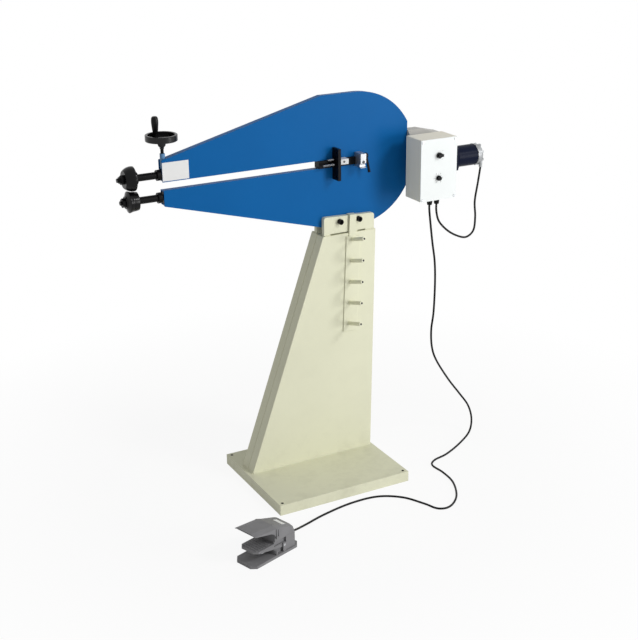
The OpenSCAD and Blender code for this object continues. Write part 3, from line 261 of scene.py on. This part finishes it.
# rounded edges for the CAD nodes, in millimetres
edgeRounding = {
    "base_tray": 3.0, "column_near": 4.0, "column_far": 4.0, "clamp_near": 1.2, "clamp_far": 1.2,
    "die_rack": 0.8, "frame_near": 0.8, "frame_far": 0.8, "rim_upper": 0.5, "rim_lower": 0.5,
    "fence_bar": 0.8, "fence_plate": 0.6, "fence_spacer": 0.8, "clamp_block": 0.9, "gear_head": 2.0,
    "motor_flange": 1.2, "control_box": 2.0, "slide_block": 1.0, "lower_bearing": 1.0,
    "pedal_base": 2.2, "pedal_hood": 2.6, "pedal_treadle": 1.2, "motor_bell": 1.0, "selector": 1.2,
    "speed_knob": 0.5, "screw_boss": 1.0, "rack_pegs": 0.8, "lower_collar": 1.0, "upper_collar": 1.0,
    "clamp_screws": 0.6, "upper_die": 1.2, "lower_die": 0.5, "upper_nut": 1.0, "lower_nut": 1.0,
    "gear_case": 2.5, "fence_keeper": 0.8, "clamp_lever": 0.8, "box_glands": 0.8,
    "handwheel": 1.0, "panel_screws": 0.4, "upper_shaft": 0.8, "lower_shaft": 0.8, "arm_plate": 0.2,
}


roundingSettings = {"merge": 0.00001, "segments": 3, "fromAngle": 40}


def dressNodes():
    s = roundingSettings
    slotOf = {row["node"]: row["material_slot"] for row in frame["record"]["subparts"]}
    for name, obj in nodes.items():
        obj.data.materials.clear()
        obj.data.materials.append(finishes[slotOf[name]])
        width = edgeRounding.get(name, 0)
        if width:
            weld = obj.modifiers.new("join", "WELD")
            weld.merge_threshold = s["merge"]
            bevel = obj.modifiers.new("rounding", "BEVEL")
            bevel.width = width * mm
            bevel.segments = s["segments"]
            bevel.limit_method = "ANGLE"
            bevel.angle_limit = math.radians(s["fromAngle"])
            bevel.use_clamp_overlap = True
            shading = obj.modifiers.new("shading", "WEIGHTED_NORMAL")
            shading.keep_sharp = True
    print("nodes dressed:", len(nodes))


cameraSettings = {
    "place": (-1779.31, -3378.95, 2015.19),
    "azimuth": 28.003,
    "pitch": 21.316,
    "roll": -0.708,
    "focalPixels": 1242.968,
    "centreV": 330.183,
    "imageHeight": 640,
    "sensorWidth": 36,
    "clipEnd": 60,
}


def makeCamera():
    s = cameraSettings
    az, pitch, roll = (math.radians(s[k]) for k in ("azimuth", "pitch", "roll"))
    forward = Vector((math.sin(az) * math.cos(pitch), math.cos(az) * math.cos(pitch), -math.sin(pitch)))
    right = Vector((math.cos(az), -math.sin(az), 0))
    up = right.cross(forward)
    turnedRight = right * math.cos(roll) + up * math.sin(roll)
    turnedUp = up * math.cos(roll) - right * math.sin(roll)
    data = bpy.data.cameras.new("camera")
    data.sensor_width = s["sensorWidth"]
    data.lens = s["focalPixels"] * s["sensorWidth"] / s["imageHeight"]
    data.shift_y = (s["centreV"] - s["imageHeight"] / 2) / s["imageHeight"]
    data.clip_end = s["clipEnd"]
    camera = bpy.data.objects.new("camera", data)
    matrix = Matrix((turnedRight, turnedUp, -forward)).transposed().to_4x4()
    matrix.translation = Vector(s["place"]) * mm
    camera.matrix_world = matrix
    bpy.context.scene.collection.objects.link(camera)
    bpy.context.scene.camera = camera
    print("camera placed")


def lineObject(name, points, radius, roundness, material):
    curve = bpy.data.curves.new(name, "CURVE")
    curve.dimensions = "3D"
    spline = curve.splines.new("POLY")
    spline.points.add(len(points) - 1)
    for point, place in zip(spline.points, points):
        point.co = (*place, 1.0)
    curve.bevel_depth = radius
    curve.bevel_resolution = roundness
    curve.use_fill_caps = True
    curve.materials.append(material)
    obj = bpy.data.objects.new(name, curve)
    bpy.context.scene.collection.objects.link(obj)
    return obj


def smoothRoute(points, steps):
    places = [Vector(p) * mm for p in points]
    last = len(places) - 1
    route = []
    for i in range(last):
        a, b, c, d = places[max(i - 1, 0)], places[i], places[i + 1], places[min(i + 2, last)]
        for k in range(steps):
            t = k / steps
            route.append(0.5 * (2 * b + (c - a) * t + (2 * a - 5 * b + 4 * c - d) * t * t
                                + (3 * b - a - 3 * c + d) * t ** 3))
    route.append(places[last])
    return route


def routeLength(route):
    return sum((b - a).length for a, b in zip(route, route[1:]))


cordSettings = {
    "radius": 3.5 * mm,
    "roundness": 5,
    "steps": 8,
    "pedalRoute": [
        (406, -55, 909), (407, -54, 885), (427, -44, 779), (445, -35, 699), (451, -31, 619), (446, -34, 519),
        (434, -40, 455), (440, -38, 389), (470, -24, 327), (539, 1, 232), (600, 20, 158), (644, 24, 98),
        (648, 4, 52), (616, -30, 20), (550, -68, 6), (463, -113, 4), (400, -132, 4), (371, -162, 4),
        (374, -225, 4), (364, -300, 4), (320, -385, 4), (264, -431, 4), (222, -424, 4), (199, -372, 4),
        (160, -304, 4), (90, -259, 4), (-10, -255, 4), (-119, -277, 4), (-199, -306, 6),
        (-263.42, -351.88, 27), (-291.87, -361.4, 34)],
    "motorRoute": [
        (433, -55, 909), (435, -53, 881), (452, -45, 842), (495, -32, 801), (545, -19, 771), (590, -8, 757),
        (628, 5, 772), (643, 18, 815), (646, 28, 867), (665, 40, 929), (676, 44, 981)],
}


def makeCords():
    s = cordSettings
    cords = (("pedal_cord", s["pedalRoute"], "loose"), ("motor_cord", s["motorRoute"], "hanging"))
    for name, points, lay in cords:
        route = smoothRoute(points, s["steps"])
        cord = lineObject(name + "_jacket", route, s["radius"], s["roundness"], finishes["cord_rubber"])
        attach(cord, "machine")
        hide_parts(name)
        round(routeLength(route), 3)
        print(name, "length", round(routeLength(route), 3))


# faces that meet at more than this angle stay sharp
sharpAngle = math.radians(38)


def pieceFromMesh(name, mesh, slot, body, smooth=True, material=None):
    mesh.materials.clear()
    mesh.materials.append(material or finishes[slot])
    if smooth:
        mesh.set_sharp_from_angle(angle=sharpAngle)
    for polygon in mesh.polygons:
        polygon.use_smooth = smooth
    obj = bpy.data.objects.new(name, mesh)
    bpy.context.scene.collection.objects.link(obj)
    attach(obj, body)
    return obj


def pieceFromForm(name, form, slot, body, smooth=True):
    bmesh.ops.remove_doubles(form, verts=form.verts, dist=1e-6)
    bmesh.ops.recalc_face_normals(form, faces=form.faces)
    mesh = bpy.data.meshes.new(name)
    form.to_mesh(mesh)
    form.free()
    return pieceFromMesh(name, mesh, slot, body, smooth)


# a Geometry Nodes tree with named inputs, closed by Realize Instances and Set Material
class Grower:
    def __init__(self, name):
        self.tree = bpy.data.node_groups.new(name, "GeometryNodeTree")
        self.entry = self.tree.nodes.new("NodeGroupInput")
        self.ids = {}
        self.source = self.input("Geometry", "NodeSocketGeometry")
        self.tree.interface.new_socket("Geometry", in_out="OUTPUT", socket_type="NodeSocketGeometry")

    def input(self, name, kind):
        self.ids[name] = self.tree.interface.new_socket(name, in_out="INPUT", socket_type=kind).identifier
        return self.entry.outputs[name]

    def add(self, kind, settings=None, inputs=None, output=0):
        node = self.tree.nodes.new(kind)
        for key, value in (settings or {}).items():
            setattr(node, key, value)
        for key, value in (inputs or {}).items():
            if isinstance(value, bpy.types.NodeSocket):
                self.tree.links.new(value, node.inputs[key])
            else:
                node.inputs[key].default_value = value
        return node.outputs[output]

    def close(self, geometry):
        material = self.input("Material", "NodeSocketMaterial")
        whole = self.add("GeometryNodeRealizeInstances", {}, {"Geometry": geometry})
        done = self.add("GeometryNodeSetMaterial", {}, {"Geometry": whole, "Material": material})
        self.tree.links.new(done, self.tree.nodes.new("NodeGroupOutput").inputs[0])
        return self

    def grow(self, name, source, values, slot, body, smooth=True, material=None):
        seed = bpy.data.objects.new(name + "_seed", source)
        bpy.context.scene.collection.objects.link(seed)
        modifier = seed.modifiers.new("grow", "NODES")
        modifier.node_group = self.tree
        values = dict(values, Material=material or finishes[slot])
        for key, value in values.items():
            modifier[self.ids[key]] = value
        graph = bpy.context.evaluated_depsgraph_get()
        mesh = bpy.data.meshes.new_from_object(seed.evaluated_get(graph), depsgraph=graph)
        seed.modifiers.remove(modifier)
        bpy.data.objects.remove(seed)
        return pieceFromMesh(name, mesh, slot, body, smooth, material)


def pathCurve(name, runs):
    curve = bpy.data.curves.new(name, "CURVE")
    curve.dimensions = "3D"
    for run in runs:
        spline = curve.splines.new("POLY")
        spline.points.add(len(run) - 1)
        for point, place in zip(spline.points, run):
            point.co = (place[0] * mm, place[1] * mm, place[2] * mm, 1.0)
    return curve


def pointCloud(name, places):
    mesh = bpy.data.meshes.new(name)
    mesh.from_pydata([(x * mm, y * mm, z * mm) for x, y, z in places], [], [])
    return mesh


dropShape = {"segments": 8, "rings": 5, "smallest": 0.85, "largest": 1.1, "seed": 4}


# weld bead: overlapping drops of uneven size along a path
def weldGrower():
    s = dropShape
    g = Grower("weld bead")
    pitch = g.input("Pitch", "NodeSocketFloat")
    width = g.input("Width", "NodeSocketFloat")
    path = g.add("GeometryNodeResampleCurve", {"mode": "LENGTH"}, {"Curve": g.source, "Length": pitch})
    spots = g.add("GeometryNodeCurveToPoints", {"mode": "EVALUATED"}, {"Curve": path})
    drop = g.add("GeometryNodeMeshUVSphere", {},
                 {"Segments": s["segments"], "Rings": s["rings"], "Radius": width})
    size = g.add("FunctionNodeRandomValue", {"data_type": "FLOAT"},
                 {2: s["smallest"], 3: s["largest"], "Seed": s["seed"]}, 1)
    beads = g.add("GeometryNodeInstanceOnPoints", {}, {"Points": spots, "Instance": drop, "Scale": size})
    return g.close(beads)


boltShape = {
    "roundSides": 20,
    "washerDepth": 2.4 * mm,
    "crownDepth": 0.8 * mm,
    "crownTop": 0.62,
    "crownFoot": 0.84,
}


# hex bolt with a washer at each given point, its head along the given axis
def boltGrower():
    s = boltShape
    g = Grower("hex bolts")

    def scaled(value, factor):
        return g.add("ShaderNodeMath", {"operation": "MULTIPLY"}, {0: value, 1: factor})

    def lifted(part, height):
        lift = g.add("ShaderNodeCombineXYZ", {}, {"Z": height})
        return g.add("GeometryNodeTransform", {}, {"Geometry": part, "Translation": lift})

    radius = g.input("Head radius", "NodeSocketFloat")
    height = g.input("Head height", "NodeSocketFloat")
    washer = g.input("Washer radius", "NodeSocketFloat")
    axis = g.input("Axis", "NodeSocketVector")
    head = g.add("GeometryNodeMeshCylinder", {"fill_type": "NGON"},
                 {"Vertices": 6, "Radius": radius, "Depth": height})
    flat = g.add("GeometryNodeMeshCylinder", {"fill_type": "NGON"},
                 {"Vertices": s["roundSides"], "Radius": washer, "Depth": s["washerDepth"]})
    crown = g.add("GeometryNodeMeshCone", {},
                  {"Vertices": s["roundSides"], "Radius Top": scaled(radius, s["crownTop"]),
                   "Radius Bottom": scaled(radius, s["crownFoot"]), "Depth": s["crownDepth"]})
    bolt = g.tree.nodes.new("GeometryNodeJoinGeometry")
    for part in (lifted(head, scaled(height, 0.5)), flat, lifted(crown, height)):
        g.tree.links.new(part, bolt.inputs[0])
    turn = g.add("FunctionNodeAlignRotationToVector", {"axis": "Z"}, {"Vector": axis})
    spots = g.add("GeometryNodeMeshToPoints", {}, {"Mesh": g.source})
    bolts = g.add("GeometryNodeInstanceOnPoints", {},
                  {"Points": spots, "Instance": bolt.outputs[0], "Rotation": turn})
    return g.close(bolts)


# width and height of a printed tick
tickSection = (0.5 * mm, 0.3 * mm)


# short printed ticks on an arc about a knob, lying on the panel
def tickGrower():
    g = Grower("dial ticks")
    count = g.input("Count", "NodeSocketInt")
    radius = g.input("Radius", "NodeSocketFloat")
    start = g.input("Start angle", "NodeSocketFloat")
    sweep = g.input("Sweep angle", "NodeSocketFloat")
    length = g.input("Length", "NodeSocketFloat")
    arc = g.add("GeometryNodeCurveArc", {"mode": "RADIUS"}, {"Resolution": count, "Radius": radius,
                                                            "Start Angle": start, "Sweep Angle": sweep})
    points = g.tree.nodes.new("GeometryNodeCurveToPoints")
    points.mode = "EVALUATED"
    g.tree.links.new(arc, points.inputs["Curve"])
    size = g.add("ShaderNodeCombineXYZ", {}, {"X": length, "Y": tickSection[0], "Z": tickSection[1]})
    tick = g.add("GeometryNodeMeshCube", {}, {"Size": size})
    place = g.add("GeometryNodeInputPosition")
    turn = g.add("FunctionNodeAlignRotationToVector", {"axis": "X"}, {"Vector": place})
    ticks = g.add("GeometryNodeInstanceOnPoints", {},
                  {"Points": points.outputs[0], "Instance": tick, "Rotation": turn})
    whole = g.add("GeometryNodeRealizeInstances", {}, {"Geometry": ticks})
    spot = g.input("Place", "NodeSocketVector")
    stood = g.add("GeometryNodeTransform", {}, {"Geometry": whole, "Translation": spot,
                                               "Rotation": (math.radians(90), 0.0, 0.0)})
    return g.close(stood)


weldSettings = {
    "pitch": 2.6 * mm,
    "width": 2.6 * mm,
    "foot": [[(-221, 32, 36.4), (231, 32, 36.4)], [(-221, 112, 36.4), (231, 112, 36.4)],
             [(-226, 36, 36.4), (-226, 108, 36.4)], [(235, 36, 36.4), (235, 108, 36.4)]],
    "clamp": [[(64, 36, 828.4), (82, 36, 828.4)], [(150, 36, 828.4), (183, 36, 828.4)],
              [(214, 36, 828.4), (246, 36, 828.4)], [(60, 96, 828.4), (246, 96, 828.4)]],
}


def makeWelds():
    s = weldSettings
    g = weldGrower()
    for name in ("foot", "clamp"):
        g.grow("weld_" + name, pathCurve("weld_" + name, s[name]), {"Pitch": s["pitch"], "Width": s["width"]},
               "cream_paint", "machine")
    print("welds laid")


# bolt places on the gear case's broad faces, in X and Z
caseSpots = [(398, 1006), (398, 1062.5), (398, 1119), (500, 1006), (500, 1050), (500, 1094)]
# peg ends of the die rack, from the lowest up
pegSpots = [(150.15 + 2.99 * i, -46.90, 533.14 + 73.44 * i) for i in range(5)]
boltSettings = {
    "caseFace": {"places": [(x, 24.1, z) for x, z in caseSpots],
                 "axis": (0, -1, 0), "head": 5.0, "height": 4.0, "washer": 7.0},
    "caseBack": {"places": [(x, 107.9, z) for x, z in caseSpots],
                 "axis": (0, 1, 0), "head": 5.0, "height": 4.0, "washer": 7.0},
    "headPlate": {"places": [(519, y, z) for y in (30, 102) for z in (1076, 1108)],
                  "axis": (1, 0, 0), "head": 5.0, "height": 4.0, "washer": 7.0},
    # painted shade: black discs a little way inside the hollow pegs darken their bores
    "pegBoreShades": {"places": pegSpots,
                "axis": (0, -0.9613, 0.2756), "head": 2.5, "height": 0.3, "washer": 3.55,
                "slot": "black_plastic"},
}


def makeBolts():
    g = boltGrower()
    for name, b in boltSettings.items():
        g.grow("bolts_" + name, pointCloud(name, b["places"]),
               {"Head radius": b["head"] * mm, "Head height": b["height"] * mm, "Washer radius": b["washer"] * mm,
                "Axis": b["axis"]}, b.get("slot", "bright_steel"), "machine", smooth=False)
    print("bolts set:", len(boltSettings))


panelSettings = {
    "face": -83.15,
    "knobX": 420.0,
    "selectorZ": 1078.0,
    "speedZ": 1003.0,
    "speedTicks": {"count": 11, "radius": 12.0, "start": -60.0, "sweep": 300.0, "length": 2.4},
    "selectorTicks": {"count": 3, "radius": 19.5, "start": -45.0, "sweep": 90.0, "length": 2.6},
    "numeralSize": 4.2,
    "numeralRadius": 16.5,
    "numeralDepth": 0.12,
    "numeralTop": 10,
    "numeralStep": 2,
}


def makePanelMarks():
    s = panelSettings
    g = tickGrower()
    for name, z in (("speedTicks", s["speedZ"]), ("selectorTicks", s["selectorZ"])):
        t = s[name]
        g.grow("panel_" + name, pointCloud(name, [(0, 0, 0)]),
               {"Count": t["count"], "Radius": t["radius"] * mm, "Start angle": math.radians(t["start"]),
                "Sweep angle": math.radians(t["sweep"]), "Length": t["length"] * mm,
                "Place": (s["knobX"] * mm, s["face"] * mm, z * mm)}, "black_plastic", "machine", False, markInk)
    t = s["speedTicks"]
    # plain dial numbers, read clockwise
    for i in range(0, s["numeralTop"] + 1, s["numeralStep"]):
        angle = math.radians(t["start"] + t["sweep"] * (1 - i / s["numeralTop"]))
        text = bpy.data.curves.new("numeral", "FONT")
        text.body = str(i)
        text.size = s["numeralSize"] * mm
        text.align_x = "CENTER"
        text.align_y = "CENTER"
        text.extrude = s["numeralDepth"] * mm
        holder = bpy.data.objects.new("numeral", text)
        bpy.context.scene.collection.objects.link(holder)
        graph = bpy.context.evaluated_depsgraph_get()
        mesh = bpy.data.meshes.new_from_object(holder.evaluated_get(graph), depsgraph=graph)
        bpy.data.objects.remove(holder)
        place = Vector((s["knobX"] + s["numeralRadius"] * math.cos(angle), s["face"],
                        s["speedZ"] + s["numeralRadius"] * math.sin(angle))) * mm
        mesh.transform(Matrix.Translation(place) @ Matrix.Rotation(math.radians(90), 4, "X"))
        pieceFromMesh("dial_number_%d" % i, mesh, "black_plastic", "machine", False, markInk)
    print("panel marked")


# helical thread about +Z from z = 0, with a core rod and run-out at both ends
def threadForm(length, radius, pitch, depth, segments=28):
    form = bmesh.new()
    total = int(length / pitch * segments)
    runOut = segments * 0.7
    roots, crests = [], []
    for i in range(total + segments + 1):
        angle = 2 * math.pi * i / segments
        z = pitch * (i / segments - 1)
        ease = max(0.0, min(1.0, i / runOut, (total + segments - i) / runOut))
        low, high = radius - depth, radius - depth + depth * ease
        zr, zc = min(max(z, 0), length), min(max(z + pitch / 2, 0), length)
        roots.append(form.verts.new((low * math.cos(angle), low * math.sin(angle), zr)))
        crests.append(form.verts.new((high * math.cos(angle), high * math.sin(angle), zc)))
    for i in range(total + segments):
        form.faces.new((roots[i], roots[i + 1], crests[i + 1], crests[i]))
        if i + segments + 1 <= total + segments:
            form.faces.new((crests[i], crests[i + 1], roots[i + segments + 1], roots[i + segments]))
    core = radius - depth * 1.02
    bmesh.ops.create_cone(form, cap_ends=True, segments=segments, radius1=core, radius2=core, depth=length,
                          matrix=Matrix.Translation((0, 0, length / 2)))
    return form


def threadPiece(name, start, axis, length, radius, pitch, depth, slot, body):
    form = threadForm(length * mm, radius * mm, pitch * mm, depth * mm)
    turn = Vector((0, 0, 1)).rotation_difference(Vector(axis)).to_matrix().to_4x4()
    bmesh.ops.transform(form, matrix=Matrix.Translation(Vector(start) * mm) @ turn, verts=form.verts)
    mesh = bpy.data.meshes.new(name)
    form.to_mesh(mesh)
    form.free()
    return pieceFromMesh(name, mesh, slot, body)


threadSettings = [
    {"name": "thread_pressure", "start": (-471, 66, 1112.5), "axis": (0, 0, 1), "length": 63, "radius": 5.25,
     "pitch": 2.0, "depth": 0.9, "slot": "black_steel", "body": "screw"},
    {"name": "thread_fence_a", "start": (55, 30, 1064), "axis": (1, 0, 0), "length": 40.5, "radius": 3.25,
     "pitch": 1.25, "depth": 0.5, "slot": "bright_steel", "body": "fence"},
    {"name": "thread_fence_b", "start": (75, 36, 1079), "axis": (1, 0, 0), "length": 20.5, "radius": 3.25,
     "pitch": 1.25, "depth": 0.5, "slot": "bright_steel", "body": "fence"},
    {"name": "thread_clamp_a", "start": (118, 106.4, 871), "axis": (0, 1, 0), "length": 4.2, "radius": 6.25,
     "pitch": 1.5, "depth": 0.6, "slot": "black_steel", "body": "machine"},
    {"name": "thread_clamp_b", "start": (188, 106.4, 871), "axis": (0, 1, 0), "length": 4.2, "radius": 6.25,
     "pitch": 1.5, "depth": 0.6, "slot": "black_steel", "body": "machine"},
    {"name": "thread_upper_tip", "start": (-612.8, 66, 1097.5), "axis": (1, 0, 0), "length": 4.4, "radius": 10.3,
     "pitch": 1.5, "depth": 0.7, "slot": "black_steel", "body": "upper_drive"},
]


def makeThreads():
    for t in threadSettings:
        threadPiece(**t)
    print("threads cut:", len(threadSettings))


pedalSettings = {
    "toe": (-473.0, -422.0),
    "yaw": 18.5,
    "plate": {"middle": (146.0, -7.5, 91.0), "size": (16.0, 38.0, 0.7), "fall": 18.2},
    "corner": 1.4,
    "rivet": {"radius": 1.3, "reach": 15.5, "flatten": 0.6},
}


# bare plate with two rivets on the hood's falling top
def makePedalPlate():
    s = pedalSettings
    p, r = s["plate"], s["rivet"]
    stand = (Matrix.Translation(Vector((*s["toe"], 0)) * mm) @ Matrix.Rotation(math.radians(s["yaw"]), 4, "Z")
             @ Matrix.Translation(Vector(p["middle"]) * mm) @ Matrix.Rotation(math.radians(p["fall"]), 4, "Y"))
    form = bmesh.new()
    bmesh.ops.create_cube(form, size=1.0, matrix=Matrix.Diagonal((*(v * mm for v in p["size"]), 1)))
    upright = [e for e in form.edges if abs(e.verts[0].co.z - e.verts[1].co.z) > 0.0001]
    bmesh.ops.bevel(form, geom=upright, offset=s["corner"] * mm, segments=4, affect="EDGES", profile=0.5)
    bmesh.ops.transform(form, matrix=stand, verts=form.verts)
    pieceFromForm("pedal_plate", form, "plate_white", "machine", False)
    for i, side in enumerate((-1, 1)):
        rivet = bmesh.new()
        bmesh.ops.create_uvsphere(rivet, u_segments=14, v_segments=8, radius=r["radius"] * mm)
        for v in rivet.verts:
            v.co.z = max(v.co.z, 0) * r["flatten"]
        seat = Matrix.Translation(Vector((0, side * r["reach"], p["size"][2] / 2)) * mm)
        bmesh.ops.transform(rivet, matrix=stand @ seat, verts=rivet.verts)
        pieceFromForm("pedal_rivet_%d" % i, rivet, "bright_steel", "machine")
    print("pedal plate fixed")


lightSettings = {
    "lamps": {
        "high key": {"place": (2.80, -3.64, 3.93), "aim": (0.05, 0.0, 0.85), "size": 1.4, "power": 96},
        "low key": {"place": (3.36, -4.39, 1.25), "aim": (0.05, 0.0, 0.85), "size": 2.6, "power": 122},
    },
    "ambient": 0.42,
    "floorGlow": 0.90,
    "floorFade": (0.7, 1.7),
    "floorHalf": 14,
    "floorColour": rgb(0.86, 0.86, 0.85),
}


def lightPath(tree):
    path = tree.nodes.new("ShaderNodeLightPath")
    total = None
    for output in ("Is Camera Ray", "Is Glossy Ray", "Is Transmission Ray"):
        if total is None:
            total = path.outputs[output]
        else:
            add = tree.nodes.new("ShaderNodeMath")
            add.operation = "MAXIMUM"
            tree.links.new(total, add.inputs[0])
            tree.links.new(path.outputs[output], add.inputs[1])
            total = add.outputs[0]
    return total


def makeStage():
    s = lightSettings
    scene = bpy.context.scene
    scene.view_settings.view_transform = "Standard"
    world = bpy.data.worlds.new("studio")
    scene.world = world
    world.use_nodes = True
    tree = world.node_tree
    tree.nodes.clear()
    seen = tree.nodes.new("ShaderNodeBackground")
    lit = tree.nodes.new("ShaderNodeBackground")
    lit.inputs["Strength"].default_value = s["ambient"]
    lit.inputs["Color"].default_value = rgb(1, 1, 1)
    seen.inputs["Color"].default_value = rgb(1, 1, 1)
    mix = tree.nodes.new("ShaderNodeMixShader")
    out = tree.nodes.new("ShaderNodeOutputWorld")
    tree.links.new(lightPath(tree), mix.inputs[0])
    tree.links.new(lit.outputs[0], mix.inputs[1])
    tree.links.new(seen.outputs[0], mix.inputs[2])
    tree.links.new(mix.outputs[0], out.inputs["Surface"])

    for name, l in s["lamps"].items():
        data = bpy.data.lights.new(name, "AREA")
        data.shape = "DISK"
        data.size = l["size"]
        data.energy = l["power"]
        lamp = bpy.data.objects.new(name, data)
        lamp.location = l["place"]
        direction = Vector(l["aim"]) - Vector(l["place"])
        lamp.rotation_euler = direction.to_track_quat("-Z", "Y").to_euler()
        scene.collection.objects.link(lamp)

    mesh = bpy.data.meshes.new("floor")
    half = s["floorHalf"]
    corners = [(-half, -half, 0), (half, -half, 0), (half, half, 0), (-half, half, 0)]
    mesh.from_pydata(corners, [], [(0, 1, 2, 3)])
    floor = bpy.data.objects.new("floor", mesh)
    scene.collection.objects.link(floor)
    p = Paint("pale floor")
    tree = p.tree
    reach = p.add("ShaderNodeVectorMath", {"operation": "LENGTH"}, {0: p.place}, "Value")
    glow = p.ramp(reach, s["floorFade"][0], s["floorFade"][1], s["floorGlow"], 1.0)
    share = Field(p, lightPath(tree)) * glow
    matte = p.add("ShaderNodeBsdfDiffuse", {}, {"Color": s["floorColour"]})
    shine = p.add("ShaderNodeEmission", {}, {"Color": rgb(1, 1, 1)})
    both = p.add("ShaderNodeMixShader", {}, {0: share, 1: matte, 2: shine})
    tree.links.new(both.socket, tree.nodes.new("ShaderNodeOutputMaterial").inputs["Surface"])
    floor.data.materials.append(p.material)
    print("stage set")


makeCamera()
makeCords()
dressNodes()
makeWelds()
makeBolts()
makePanelMarks()
makeThreads()
makePedalPlate()
makeStage()
